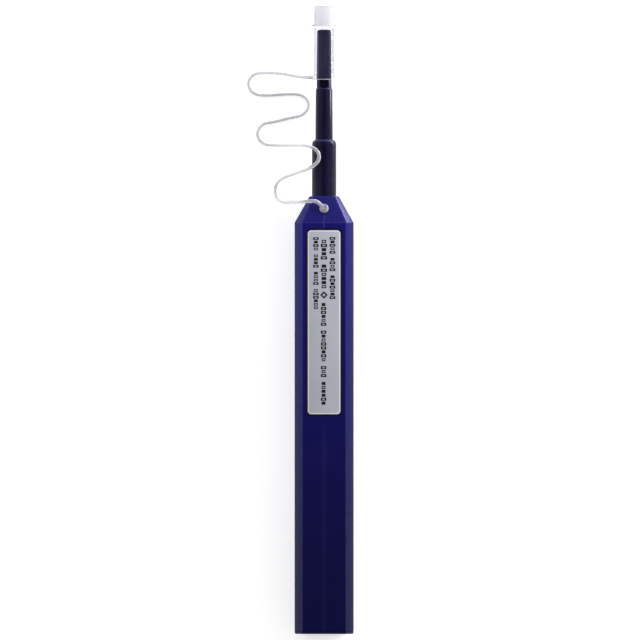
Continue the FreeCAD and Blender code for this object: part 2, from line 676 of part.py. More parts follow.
def build_lid():
    body = new_body("cap_lid")
    flange = "lid_start + lid_flange"
    outer = "lid_width / 2"
    turn(body, [(f"{outer} - lid_wall", "lid_start"), (f"{outer} + 0.2", "lid_start"),
                (f"{outer} + 0.2", flange), (outer, flange), (f"{outer} - 0.08", "overall_length"),
                ("0", "overall_length"), ("0", "overall_length - lid_wall"),
                (f"{outer} - lid_wall", "overall_length - lid_wall")])

    def top_rim(edge):
        return edge.BoundBox.YMin > size("overall_length") - 0.01 and edge.BoundBox.XMax > 2
    soften(body, "Fillet", "lid_round", top_rim)
    tab = [("-3.0", "-1.5"), ("-4.7", "-1.1"), ("-5.35", "-0.4"), ("-5.35", "0.4"), ("-4.7", "1.1"),
           ("-3.0", "1.5")]
    extrude(body, tab, "XZ_Plane", "lid_start", "lid_start + 0.45")
    extrude(body, box("2.9", "hinge_place", "-1.2", "1.2"), "XZ_Plane", "lid_start", flange)
    return body


# ---- wires: springs, thread and tether, as straight runs joined by tangent arcs ----

def rounded_path(points, radius=None):
    """A wire through the corners, each rounded by an arc, with the smallest radius that it has."""
    edges = []
    here = points[0]
    least = 1e9
    for i in range(1, len(points) - 1):
        back = points[i - 1] - points[i]
        ahead = points[i + 1] - points[i]
        half_turn = (math.pi - back.getAngle(ahead)) / 2
        reach = 0.45 * min(back.Length, ahead.Length)
        if radius:
            reach = min(reach, radius * math.tan(half_turn))
        least = min(least, reach / math.tan(half_turn))
        start = points[i] + back.normalize() * reach
        end = points[i] + ahead.normalize() * reach
        inward = (back + ahead).normalize()
        bend = reach / math.tan(half_turn)
        to_middle = bend / math.cos(half_turn) - bend
        edges.append(Part.LineSegment(here, start).toShape())
        edges.append(Part.Arc(start, points[i] + inward * to_middle, end).toShape())
        here = end
    edges.append(Part.LineSegment(here, points[-1]).toShape())
    return Part.Wire(edges), least


def tube_along(label, points, width, radius=None, sides=None):
    """A wire or cord of the given width along the rounded path, round or with so many sides."""
    path, least = rounded_path(points, radius)
    ahead = (points[1] - points[0]).normalize()
    if sides:
        across = ahead.cross(Vector(0.3, 0.1, 1)).normalize()
        turned = FreeCAD.Rotation(ahead, 360 / sides)
        corners = [points[0] + across * (width / 2)]
        while len(corners) < sides:
            across = turned.multVec(across)
            corners.append(points[0] + across * (width / 2))
        ring = Part.makePolygon(corners + [corners[0]])
    else:
        ring = Part.Wire(Part.Circle(points[0], ahead, width / 2).toShape())
    solid = path.makePipeShell([ring], True, True)
    expected = Part.Face(ring).Area * path.Length
    print(f"{label}: length {path.Length:.2f}, least radius {least:.2f}, "
          f"volume {solid.Volume / expected:.4f} of section by length")
    if abs(solid.Volume / expected - 1) > 0.01:
        raise RuntimeError(f"{label} isn't a clean tube")
    item = doc.addObject("Part::Feature", label)
    item.Shape = solid
    item.Placement = FreeCAD.Placement(
        Vector(0, -size("overall_length") / 2, size("body_width") / 2), FreeCAD.Rotation())
    return item


def coil_points(mean_radius, start, end, turns, per_turn):
    """Corners of a helix about the pen's axis, pushed out so that the arcs keep its radius."""
    count = int(turns * per_turn)
    corner = mean_radius / math.cos(math.pi / per_turn) ** 0.5
    return [Vector(corner * math.cos(2 * math.pi * i / per_turn), start + (end - start) * i / count,
                   corner * math.sin(2 * math.pi * i / per_turn)) for i in range(count + 1)]


def build_return_spring():
    wire = size("spring_wire")
    mean_radius = (size("spring_width") - wire) / 2
    turns = size("spring_turns")
    low = size("spring_start") + wire / 2 + 0.03
    high = size("frame_start") - wire / 2 - 0.03
    return tube_along("return_spring", coil_points(mean_radius, low, high, turns, 8), wire, sides=8)


def build_head_spring():
    wire = size("head_spring_wire")
    mean_radius = (size("head_spring_width") - wire) / 2
    low = size("rotor_end") + wire / 2 + 0.02
    high = size("head_flange_start") - wire / 2 - 0.02
    points = coil_points(mean_radius, low, high, size("head_spring_turns"), 6)
    return tube_along("head_spring", points, wire, sides=8)


def build_threads():
    """The thread: the loop over the head, and the two strands between the rotor and the reels."""
    wide = size("thread_width")
    tip = size("head_end") - 0.02
    bore = size("bulkhead_start") - 0.6
    neck = size("head_neck")
    loop = [Vector(-0.6, bore + 2.1, 0), Vector(-0.6, 136, 0), Vector(-0.84, 139, 0), Vector(-0.84, neck - 0.4, 0),
            Vector(-0.47, neck + 1.6, 0), Vector(-0.47, tip, 0), Vector(0.47, tip, 0),
            Vector(0.47, neck + 1.6, 0), Vector(0.84, neck - 0.4, 0), Vector(0.84, 139, 0),
            Vector(0.6, 136, 0), Vector(0.6, bore + 2.1, 0)]
    tube_along("thread_loop", loop, wide, 0.4, 6)
    pin = Vector(0.8, size("bulkhead_start") - 3.6, 6.45)
    fresh = [Vector(0.8, size("supply_place"), 5.55), Vector(0.8, size("supply_place") + 3, 5.75), pin,
             Vector(0.7, size("bulkhead_start") - 1.7, 2.6), Vector(0.6, bore - 0.1, 0.1)]
    tube_along("fresh_strand", fresh, wide, 0.7, 6)
    used = [Vector(-0.6, bore - 0.1, 0.1), Vector(-0.7, size("bulkhead_start") - 3, 2.2),
            Vector(-0.8, size("takeup_place"), 3.95)]
    tube_along("used_strand", used, wide, 2, 6)


# ---- tether: the anchor pressed into the shoulder, and the cord to the cap ----

def slope_frame():
    """The point on the shoulder's upper slope over the anchor, and the slope's outward normal."""
    fall = (size("body_width") - size("nose_width")) / 2
    run = size("shoulder_end") - size("shoulder_start")
    place = size("anchor_place")
    height = size("body_width") / 2 - fall / run * (place - size("shoulder_start"))
    return Vector(0, place, height), Vector(0, fall, run).normalize()


def build_anchor():
    point, normal = slope_frame()
    ball = Part.makeSphere(size("anchor_ball") / 2, point + normal * 0.45)
    stem = Part.makeCylinder(size("anchor_stem") / 2, 2.6, point - normal * 2.2, normal)
    item = doc.addObject("Part::Feature", "tether_anchor")
    item.Shape = ball.fuse(stem).removeSplitter()
    item.Placement = FreeCAD.Placement(
        Vector(0, -size("overall_length") / 2, size("body_width") / 2), FreeCAD.Rotation())
    return item


# The cord's route from the anchor to the cap, by hand: X, distance along the pen, height over
# the surface that the pen lies on. It leans on the collar once and lies in loops beside the pen.
TETHER_ROUTE = [
    (-6.4, 131.2, 18.1), (-9.0, 130.8, 14.3), (-10.7, 130.5, 10.3), (-12.6, 130.3, 6.4),
    (-14.7, 131.0, 2.9), (-15.4, 133.9, 0.8), (-14.4, 137.2, 1.6), (-11.9, 139.0, 5.0),
    (-9.0, 139.9, 9.0), (-6.3, 140.6, 12.4), (-3.6, 141.6, 15.4), (-1.6, 144.3, 16.5),
    (-2.4, 147.8, 15.8), (-5.4, 148.8, 13.6), (-7.7, 148.6, 10.6), (-9.9, 148.7, 7.8),
    (-12.4, 148.7, 4.4), (-15.4, 148.8, 1.6), (-18.9, 149.1, 0.45), (-20.9, 152.4, 0.45),
    (-18.7, 155.6, 0.45), (-15.0, 156.0, 0.45), (-10.6, 157.2, 0.45), (-6.2, 157.9, 0.45),
    (-4.2, 161.1, 0.45), (-6.2, 164.4, 0.45), (-11.6, 164.5, 0.45), (-17.0, 164.0, 0.45),
    (-21.7, 164.3, 0.45), (-23.6, 167.6, 0.45), (-21.7, 170.8, 0.9), (-17.2, 170.9, 2.4),
    (-13.2, 170.7, 5.0), (-9.6, 169.9, 7.7), (-6.4, 169.4, 9.0),
]


def build_tether():
    point, normal = slope_frame()
    axis_height = size("body_width") / 2
    ball = point + normal * 0.45
    route = [Vector(across, along, height - axis_height) for across, along, height in TETHER_ROUTE]
    out = Vector(-1.4, 0.8, 1.1).normalize()
    start = ball + out * (size("anchor_ball") / 2 - 0.02)
    stub_end = Vector(-4.2, size("cap_start") + 0.7, 0)
    points = [start, start + out * 2.9] + route + [stub_end]
    for number, corner in enumerate(points[1:-1], start=1):
        back = points[number - 1] - corner
        ahead = points[number + 1] - corner
        half_turn = (math.pi - back.getAngle(ahead)) / 2
        radius = 0.45 * min(back.Length, ahead.Length) / math.tan(half_turn)
        print(f"  tether point {number}: run {ahead.Length:.2f}, turn {math.degrees(2 * half_turn):.0f}, "
              f"radius {radius:.2f}")
    return tube_along("tether_cord", points, size("tether_width"))


build_housing()
build_end_plug()
build_label()
build_rack_rail()
build_core_frame()
build_frame_cover()
build_collar()
build_nozzle()
build_tip_sleeve()
build_rotor()
build_head()
build_drive_gear()
build_reel("takeup_reel", "takeup_place", "-2.6", "6.1", True)
build_thread_roll("used_thread", "takeup_place", "-2.6", "6.1", "3.7")
build_reel("supply_reel", "supply_place", "-6.1", "6.1", False)
build_thread_roll("fresh_thread", "supply_place", "-6.1", "6.1", "5.4")
build_guide_cap()
build_lid()
build_return_spring()
build_head_spring()
build_threads()
build_anchor()
build_tether()
doc.recompute()

# ---- checks, then one STEP file for each sub-part ----

for item in doc.Objects:
    if "Invalid" in item.State or "Error" in item.State:
        raise RuntimeError(f"{item.Label} is {item.State}")

sub_parts = [item for item in doc.Objects
             if item.TypeId == "PartDesign::Body" or item.TypeId == "Part::Feature"]
os.makedirs("parts", exist_ok=True)
for item in sub_parts:
    shape = item.Shape
    if shape.isNull() or not shape.isValid() or len(shape.Solids) != 1:
        raise RuntimeError(f"{item.Label}: not one valid solid, but {len(shape.Solids)}")
    shape.exportStep(f"parts/{item.Label}.step")
    corners = shape.BoundBox
    print(f"{item.Label}: {shape.Volume:.1f} mm3, y {corners.YMin:.2f} to {corners.YMax:.2f}, "
          f"z {corners.ZMin:.2f} to {corners.ZMax:.2f}, x {corners.XMin:.2f} to {corners.XMax:.2f}")
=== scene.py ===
import math

import bpy
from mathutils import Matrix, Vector


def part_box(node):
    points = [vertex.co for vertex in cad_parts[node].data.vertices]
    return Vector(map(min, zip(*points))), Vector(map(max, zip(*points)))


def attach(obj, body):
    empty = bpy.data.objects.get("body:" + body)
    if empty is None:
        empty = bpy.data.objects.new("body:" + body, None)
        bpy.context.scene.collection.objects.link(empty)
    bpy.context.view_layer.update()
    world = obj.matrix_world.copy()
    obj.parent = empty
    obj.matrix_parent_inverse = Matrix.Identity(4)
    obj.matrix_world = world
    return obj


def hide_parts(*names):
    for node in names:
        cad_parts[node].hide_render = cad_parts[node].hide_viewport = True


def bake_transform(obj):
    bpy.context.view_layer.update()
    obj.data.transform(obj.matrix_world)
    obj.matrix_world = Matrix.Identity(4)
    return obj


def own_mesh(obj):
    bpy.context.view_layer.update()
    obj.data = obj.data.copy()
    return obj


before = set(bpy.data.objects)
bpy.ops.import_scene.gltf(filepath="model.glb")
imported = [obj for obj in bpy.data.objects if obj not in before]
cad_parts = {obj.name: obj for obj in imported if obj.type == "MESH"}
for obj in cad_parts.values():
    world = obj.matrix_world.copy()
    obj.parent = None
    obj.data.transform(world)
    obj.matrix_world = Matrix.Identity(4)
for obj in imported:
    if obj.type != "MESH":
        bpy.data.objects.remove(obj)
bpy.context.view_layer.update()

# ---- Where the pen lies ----
# The pen rests on its back on the floor, label up and cap away. Its pieces are sized in
# millimetres: across the pen, from its rear end, and over the floor.

MM = 0.001
rear_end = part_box("end_plug")[0][1]
axis_height = (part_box("outer_housing")[0][2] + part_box("outer_housing")[1][2]) / 2


def along(distance):
    """The frame's Y at a distance in millimetres from the pen's rear end."""
    return rear_end + distance * MM


def settle(piece, name):
    """Names a new piece and moves its place, turn and scale into its mesh."""
    piece.name = name
    bpy.ops.object.select_all(action="DESELECT")
    piece.select_set(True)
    bpy.context.view_layer.objects.active = piece
    bpy.ops.object.transform_apply(location=True, rotation=True, scale=True)
    return piece


# ---- Camera ----
# It looks straight down on the pen from four metres, through a lens so long that the pen is drawn
# nearly without perspective. The view is as wide as the pen is long, and a little more.

camera_distance = 4.0
view_width = 0.19456
bpy.ops.object.camera_add(location=(-1.25 * MM, -0.16 * MM, camera_distance + 18 * MM), rotation=(0, 0, 0))
camera = bpy.context.object
camera.data.sensor_width = 36
camera.data.lens = 36 * camera_distance / view_width
camera.data.clip_start = 0.05
camera.data.clip_end = 20
bpy.context.scene.camera = camera
bpy.context.scene.view_settings.view_transform = "Standard"


# ---- Floor, room and lamps ----
# A plain pale sheet of card in a white room. The side walls are bright and the ceiling is dim,
# and soft lamps stand on either side, past the cap, and low down beside the nozzle.

class Level:
    """A shader socket that takes part in ordinary sums, each of which adds its Math node."""

    def __init__(self, finish, socket):
        self.finish = finish
        self.socket = socket

    def sum(self, operation, *others):
        values = {number + 1: other for number, other in enumerate(others)}
        return self.finish.node("ShaderNodeMath", {"operation": operation}, {0: self, **values})

    def __add__(self, other):
        return self.sum("ADD", other)

    def __sub__(self, other):
        return self.sum("SUBTRACT", other)

    def __rsub__(self, other):
        return self.finish.node("ShaderNodeMath", {"operation": "SUBTRACT"}, {0: other, 1: self})

    def __mul__(self, other):
        return self.sum("MULTIPLY", other)

    def __truediv__(self, other):
        return self.sum("DIVIDE", other)

    def __gt__(self, other):
        return self.sum("GREATER_THAN", other)

    def __lt__(self, other):
        return self.sum("LESS_THAN", other)

    def __abs__(self):
        return self.sum("ABSOLUTE")

    __radd__ = __add__
    __rmul__ = __mul__

    def least(self, other):
        return self.sum("MINIMUM", other)

    def most(self, other):
        return self.sum("MAXIMUM", other)

    def eased(self, start, end):
        """Rises smoothly from 0 to 1 while the level goes from start to end."""
        return self.finish.node("ShaderNodeMapRange", {"interpolation_type": "SMOOTHSTEP"},
                                {"Value": self, "From Min": start, "From Max": end})


class Wiring:
    """A node tree that is built up node by node."""

    def __init__(self, tree):
        self.tree = tree

    def node(self, kind, settings, sockets, result=0):
        """Adds a node: its settings first, then the values or links of its sockets."""
        new = self.tree.nodes.new(kind)
        for name, value in settings.items():
            setattr(new, name, value)
        for name, value in sockets.items():
            if isinstance(value, Level):
                self.tree.links.new(value.socket, new.inputs[name])
            else:
                new.inputs[name].default_value = value
        return Level(self, new.outputs[result])


class Finish(Wiring):
    """One material, built from nodes, with the plain numbers of its shader set on it."""

    def __init__(self, name, **shader):
        self.material = bpy.data.materials.new(name)
        self.material.use_nodes = True
        super().__init__(self.material.node_tree)
        self.shader = self.tree.nodes["Principled BSDF"]
        for socket, value in shader.items():
            self.shader.inputs[socket.replace("_", " ")].default_value = value

    def feed(self, **sockets):
        """Links what changes over the surface to the shader."""
        for name, level in sockets.items():
            self.tree.links.new(level.socket, self.shader.inputs[name.replace("_", " ")])

    def place(self):
        """Millimetres across the pen, from its rear end and over its axis."""
        point = self.node("ShaderNodeTexCoord", {}, {}, "Object")
        pen = self.node("ShaderNodeMapping", {"vector_type": "POINT"},
                        {"Vector": point, "Location": (0, -rear_end / MM, -axis_height / MM),
                         "Scale": (1 / MM, 1 / MM, 1 / MM)})
        parts = self.node("ShaderNodeSeparateXYZ", {}, {"Vector": pen})
        return pen, *(Level(self, parts.socket.node.outputs[axis]) for axis in "XYZ")

    def noise(self, pen, grains, detail=2, rough=0.5, stretch=(1, 1, 1)):
        """Noise from 0 to 1 with so many grains to the millimetre, stretched along an axis."""
        drawn = self.node("ShaderNodeMapping", {"vector_type": "POINT"}, {"Vector": pen, "Scale": stretch})
        return self.node("ShaderNodeTexNoise", {},
                         {"Vector": drawn, "Scale": grains, "Detail": detail, "Roughness": rough})

    def blend(self, amount, first, second):
        """Goes from the first colour to the second."""
        return self.node("ShaderNodeMix", {"data_type": "RGBA"}, {0: amount, 6: first, 7: second}, 2)

    def relief(self, height, depth):
        """Raises the surface by the height, in millimetres at a height of 1."""
        self.feed(Normal=self.node("ShaderNodeBump", {}, {"Height": height, "Distance": depth * MM,
                                                          "Strength": 1.0}))


def paint(red, green, blue):
    """A colour of 0 to 255 parts as the shader's linear light."""
    parts = [part / 255 for part in (red, green, blue)]
    return *(part / 12.92 if part <= 0.04045 else ((part + 0.055) / 1.055) ** 2.4 for part in parts), 1.0


def dress(piece, finish):
    """Gives a whole piece one finish."""
    if not piece.material_slots:
        piece.data.materials.append(finish.material)
    for slot in piece.material_slots:
        slot.material = finish.material


bpy.ops.mesh.primitive_grid_add(x_subdivisions=8, y_subdivisions=8, size=6, location=(0, 0, 0))
floor = settle(bpy.context.object, "floor")
card = Finish("floor_card", Roughness=0.9, Base_Color=(0.82, 0.82, 0.82, 1))
seen = card.node("ShaderNodeLightPath", {}, {})
straight = Level(card, seen.socket.node.outputs["Is Camera Ray"])
through = Level(card, seen.socket.node.outputs["Is Transmission Ray"])
glossy = Level(card, seen.socket.node.outputs["Is Glossy Ray"])
shine = card.node("ShaderNodeEmission", {}, {"Color": (1, 1, 1, 1), "Strength": 0.55})
lit = card.node("ShaderNodeAddShader", {}, {0: Level(card, card.shader.outputs[0]), 1: shine})
shown = card.node("ShaderNodeMixShader", {},
                  {0: straight.most(glossy).most(through), 1: Level(card, card.shader.outputs[0]), 2: lit})
card.tree.links.new(shown.socket, card.tree.nodes["Material Output"].inputs["Surface"])
dress(floor, card)

room = bpy.data.worlds.new("room")
bpy.context.scene.world = room
room.use_nodes = True
room.node_tree.nodes.clear()
walls = Wiring(room.node_tree)
seen = walls.node("ShaderNodeLightPath", {}, {})
straight = Level(walls, seen.socket.node.outputs["Is Camera Ray"])
through = Level(walls, seen.socket.node.outputs["Is Transmission Ray"])
glossy = Level(walls, seen.socket.node.outputs["Is Glossy Ray"]) * (1 - through)
heading = walls.node("ShaderNodeTexCoord", {}, {}, "Generated")
rise = walls.node("ShaderNodeSeparateXYZ", {}, {"Vector": heading}, 2)
sideways = abs(walls.node("ShaderNodeSeparateXYZ", {}, {"Vector": heading}))
# mirror-like rays see the white horizon, bright side walls and a dim ceiling
horizon = rise.eased(0.30, 0.05)
side_walls = rise.eased(-0.2, 0.15) * sideways.eased(0.18, 0.55)
brightness = 0.35 + straight.most(through) * 0.65
brightness = brightness * (1 - glossy) + (side_walls * 0.65 + 0.03).most(horizon) * glossy
sky = walls.node("ShaderNodeBackground", {}, {"Color": (1, 1, 1, 1), "Strength": brightness})
outlet = walls.tree.nodes.new("ShaderNodeOutputWorld")
walls.tree.links.new(sky.socket, outlet.inputs["Surface"])

for name, place, width, power, tint, mirrored in (
        ("lamp_right", (0.95, 0.30, 0.42), 0.60, 11.8, (1.0, 0.98, 1.0), False),
        ("lamp_left", (-0.95, 0.35, 0.40), 0.80, 6.2, (0.98, 0.98, 1.0), False),
        ("lamp_cap_end", (0.10, 1.00, 0.75), 0.60, 3.2, (1.0, 1.0, 1.0), False),
        ("lamp_corner", (0.62, 0.62, 0.38), 0.16, 0.22, (1.0, 1.0, 1.0), True),
        ("lamp_low", (0.072, 0.112, 0.003), 0.09, 0.85, (0.76, 0.72, 1.0), True)):
    bpy.ops.object.light_add(type="AREA", location=place)
    lamp = bpy.context.object
    lamp.name = name
    lamp.data.shape = "SQUARE"
    lamp.data.size = width
    lamp.data.energy = power
    lamp.data.color = tint
    lamp.visible_camera = False
    lamp.visible_glossy = mirrored
    lamp.visible_transmission = False
    lamp.rotation_euler = (-Vector(place)).to_track_quat("-Z", "Y").to_euler()
# the low lamp lies flat, shines upwards and shows only as a reflection on the shoulder
low_lamp = bpy.data.objects["lamp_low"]
low_lamp.rotation_euler = (math.pi, 0, 0)
low_lamp.visible_diffuse = False


# ---- Tether ----
# One moulded strap of clear, slightly milky plastic, which ties the guide cap to the housing. It
# leans on the collar once, and there its rear and front runs, which move apart, are parted.

def smooth_line(name, corners, resolution):
    """A smooth open spline led by corners, given across the pen, from its rear end and over the floor."""
    line = bpy.data.curves.new(name, "CURVE")
    line.dimensions = "3D"
    string = bpy.data.objects.new(name, line)
    bpy.context.scene.collection.objects.link(string)
    spline = line.splines.new("NURBS")
    spline.points.add(len(corners) - 1)
    for point, (across, distance, height) in zip(spline.points, corners):
        point.co = (across * MM, along(distance), height * MM, 1)
    spline.order_u = 3
    spline.use_endpoint_u = True
    spline.resolution_u = resolution
    return string


def made_round(string, name, thickness, fineness):
    """The mesh of a round string or wire along a line."""
    string.data.bevel_depth = thickness / 2 * MM
    string.data.bevel_resolution = fineness
    string.data.use_fill_caps = True
    bpy.ops.object.select_all(action="DESELECT")
    string.select_set(True)
    bpy.context.view_layer.objects.active = string
    bpy.ops.object.convert(target="MESH")
    return settle(bpy.context.object, name)


def limp_run(name, corners, thickness, widths):
    """A plastic string, wider at some of its corners, and the points that its middle follows."""
    string = smooth_line(name, corners, 10)
    for number, width in widths.items():
        string.data.splines[0].points[number].radius = width
    middle = bpy.data.meshes.new_from_object(string)
    path = [tuple(vertex.co) for vertex in middle.vertices]
    string = made_round(string, name, thickness, 10)
    bpy.ops.object.shade_smooth()
    return string, path


tether_thickness = 0.85
rear_run, rear_path = limp_run("tether_rear_run", [
    (-0.60, 129.9, 15.9), (-1.9, 131.7, 18.1), (-4.6, 131.6, 18.4), (-7.6, 131.3, 16.4),
    (-9.9, 131.4, 12.0), (-12.2, 131.2, 7.0), (-14.5, 132.2, 2.9), (-15.2, 135.2, 0.8),
    (-14.2, 137.8, 1.6), (-11.9, 139.1, 5.0), (-9.0, 140.1, 9.0), (-6.3, 140.9, 12.4),
    (-3.6, 142.0, 14.2), (-1.95, 143.6, 14.25)], tether_thickness,
    {0: 1.55, 1: 1.5, 2: 1.3, 3: 1.15, 11: 1.1, 12: 1.25, 13: 1.3})
front_run, front_path = limp_run("tether_front_run", [
    (-1.95, 143.6, 14.25), (-1.2, 145.1, 14.0), (-2.4, 147.6, 14.0), (-5.4, 148.6, 13.0),
    (-7.7, 148.6, 10.6), (-9.9, 148.7, 7.8), (-12.4, 148.7, 4.4), (-15.4, 148.8, 1.6),
    (-18.9, 149.1, 0.45), (-20.9, 152.4, 0.45), (-18.7, 155.6, 0.45), (-15.0, 156.0, 0.45),
    (-10.6, 157.2, 0.45), (-6.2, 157.9, 0.45), (-4.2, 161.1, 0.45), (-6.2, 164.4, 0.45),
    (-11.6, 164.5, 0.45), (-17.0, 164.0, 0.45), (-21.7, 164.3, 0.45), (-23.6, 167.6, 0.45),
    (-21.7, 170.8, 0.9), (-17.2, 170.9, 2.4), (-13.2, 170.7, 5.0), (-9.6, 169.9, 7.7),
    (-6.4, 169.4, 9.0), (-3.95, 169.4, 9.0)], tether_thickness,
    {0: 1.3, 1: 1.3, 2: 1.25, 3: 1.1, 24: 1.1, 25: 1.35})

milky = Finish("tether_plastic", Roughness=0.22, IOR=1.42, Transmission_Weight=0.62)
pen, across, distance, height = milky.place()
cloud = milky.noise(pen, 0.6, 3)
skin = milky.node("ShaderNodeLayerWeight", {}, {"Blend": 0.5}, "Facing")
core_milk = milky.blend(cloud, paint(214, 214, 219), paint(229, 229, 233))
milky.feed(Base_Color=milky.blend(skin.eased(0.15, 0.60), core_milk, paint(254, 254, 255)),
           Roughness=0.12 + milky.noise(pen, 2.5, 3) * 0.14)
milky.relief(milky.noise(pen, 4.0, 2), 0.002)
for run, path in ((rear_run, rear_path), (front_run, front_path)):
    dress(run, milky)
    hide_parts("tether_cord")
along(132)
along(142.5)
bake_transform(rear_run)
along(146)
along(168)
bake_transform(front_run)


# ---- Tether anchor ----
# The strap's ball end, pressed into the hole in the shoulder. A flat with the ragged mark of the
# moulding gate is left on its crown.

body_width, nose_width = 18.0, 8.9
shoulder_start, nose_end = 125.1, 133.2
anchor_place = 129.2
slope_turn = math.atan2((body_width - nose_width) / 2, nose_end - shoulder_start)
slope_height = body_width / 2 - math.tan(slope_turn) * (anchor_place - shoulder_start)
outward = Vector((0, math.sin(slope_turn), math.cos(slope_turn)))
seat = Vector((0, along(anchor_place), axis_height + slope_height * MM))
bpy.ops.object.select_all(action="DESELECT")
bpy.ops.mesh.primitive_uv_sphere_add(segments=40, ring_count=24, radius=1.375 * MM,
                                     location=seat + outward * 0.45 * MM, rotation=(-slope_turn, 0, 0))
anchor = settle(bpy.context.object, "tether_anchor_ball")
bpy.ops.object.mode_set(mode="EDIT")
bpy.ops.mesh.select_mode(type="FACE")
bpy.ops.mesh.select_all(action="DESELECT")
bpy.ops.object.mode_set(mode="OBJECT")
for face in anchor.data.polygons:
    face.select = face.normal.dot(outward) > 0.87
bpy.ops.object.mode_set(mode="EDIT")
bpy.ops.transform.translate(value=-outward * 0.14 * MM)
for shrink, lift in ((0.82, 0.0), (0.92, -0.12), (0.62, 0.0), (0.88, 0.16)):
    bpy.ops.mesh.extrude_region_move(TRANSFORM_OT_translate={"value": outward * lift * MM})
    bpy.ops.transform.resize(value=(shrink, shrink, shrink), center_override=seat + outward * 1.5 * MM)
bpy.ops.object.mode_set(mode="OBJECT")
bpy.ops.object.shade_smooth_by_angle(angle=math.radians(40))
frosted = Finish("anchor_plastic", Roughness=0.3, IOR=1.46, Transmission_Weight=0.55)
pen, across, distance, height = frosted.place()
crown = frosted.noise(pen, 2.2, 4, 0.7)
skin = frosted.node("ShaderNodeLayerWeight", {}, {"Blend": 0.5}, "Facing")
mottled = frosted.blend(crown.eased(0.35, 0.65), paint(160, 158, 190), paint(232, 232, 240))
frosted.feed(Base_Color=frosted.blend(skin.eased(0.12, 0.50), mottled, paint(253, 253, 254)),
             Roughness=0.2 + crown * 0.3)
frosted.relief(crown, 0.12)
dress(anchor, frosted)
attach(anchor, "housing")
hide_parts("tether_anchor")


# ---- Outer housing ----
# The grip: an octagonal sleeve with a sloped shoulder, injection moulded in navy plastic with a
# fine spark-eroded satin. Its front is bored for the collar, and its face has a seat for the label.

def shape_in(piece, kind, wanted):
    """Enters edit mode with the faces or edges selected that the test wanted picks."""
    bpy.ops.object.mode_set(mode="EDIT")
    bpy.ops.mesh.select_mode(type=kind)
    bpy.ops.mesh.select_all(action="DESELECT")
    bpy.ops.object.mode_set(mode="OBJECT")
    if kind == "FACE":
        for face in piece.data.polygons:
            face.select = wanted(face.center, face.normal)
    else:
        for edge in piece.data.edges:
            edge.select = wanted(*(piece.data.vertices[corner].co for corner in edge.vertices))
    bpy.ops.object.mode_set(mode="EDIT")


def octagonal_bar(name, width, chamfer, start, end):
    """A square bar along the pen with its long edges cut at 45 degrees."""
    bpy.ops.object.select_all(action="DESELECT")
    bpy.ops.mesh.primitive_cube_add(size=1, location=(0, along((start + end) / 2), axis_height),
                                    scale=(width * MM, (end - start) * MM, width * MM))
    bar = settle(bpy.context.object, name)
    shape_in(bar, "EDGE", lambda a, b: abs(a.y - b.y) > (end - start) * MM * 0.9)
    bpy.ops.mesh.bevel(offset=chamfer * MM, segments=1, affect="EDGES")
    bpy.ops.object.mode_set(mode="OBJECT")
    return bar


def rod(name, width, start, end, sides=72):
    """A round bar along the pen."""
    bpy.ops.object.select_all(action="DESELECT")
    bpy.ops.mesh.primitive_cylinder_add(vertices=sides, radius=width / 2 * MM, depth=(end - start) * MM,
                                        location=(0, along((start + end) / 2), axis_height),
                                        rotation=(math.pi / 2, 0, 0))
    return settle(bpy.context.object, name)


def block(name, middle, size):
    """A plain box. Its middle is given across the pen, from its rear end and over its axis."""
    across, distance, height = middle
    bpy.ops.object.select_all(action="DESELECT")
    bpy.ops.mesh.primitive_cube_add(size=1, location=(across * MM, along(distance), axis_height + height * MM),
                                    scale=tuple(side * MM for side in size))
    return settle(bpy.context.object, name)


def finish_with(piece, kind, **settings):
    """Adds a modifier to a piece and applies it."""
    bpy.ops.object.select_all(action="DESELECT")
    piece.select_set(True)
    bpy.context.view_layer.objects.active = piece
    modifier = piece.modifiers.new(kind.lower(), kind)
    for name, value in settings.items():
        setattr(modifier, name, value)
    bpy.ops.object.modifier_apply(modifier=modifier.name)


def cut_away(piece, *cutters):
    """Cuts each of the cutters out of a piece, and removes them."""
    for cutter in cutters:
        finish_with(piece, "BOOLEAN", operation="DIFFERENCE", object=cutter, solver="EXACT")
        bpy.data.objects.remove(cutter)


body_chamfer = 2.2
housing = octagonal_bar("housing_shell", body_width, body_chamfer, 0.8, shoulder_start)
shape_in(housing, "FACE", lambda centre, normal: normal.y > 0.9)
bpy.ops.mesh.extrude_region_move(TRANSFORM_OT_translate={"value": (0, (nose_end - shoulder_start) * MM, 0)})
bpy.ops.transform.resize(value=(nose_width / body_width, 1, nose_width / body_width),
                         center_override=(0, along(nose_end), axis_height))
bpy.ops.object.mode_set(mode="OBJECT")
finish_with(housing, "BEVEL", width=0.34 * MM, segments=4, limit_method="ANGLE", angle_limit=math.radians(20))

collar_bore = rod("collar_bore", 7.64, 120, 134)
lead_in = rod("lead_in", 8.3, 132.95, 134)
cavity = octagonal_bar("cavity", 15.4, 1.44, 0, 124.2)
flange_bore = rod("flange_bore", 10.3, 124, 126.5)
rail_channel = block("rail_channel", (0, 61, -7.6), (12.2, 122.8, 1.2))

label_width, label_length, label_corner = 10.8, 56.8, 1.5
label_middle = 94.8
label_seat = block("label_seat", (0, label_middle, 9.35), (label_width + 0.3, label_length + 0.3, 1.0))
shape_in(label_seat, "EDGE", lambda a, b: abs(a.z - b.z) > 0.5 * MM)
bpy.ops.mesh.bevel(offset=(label_corner + 0.1) * MM, segments=6, affect="EDGES")
bpy.ops.object.mode_set(mode="OBJECT")

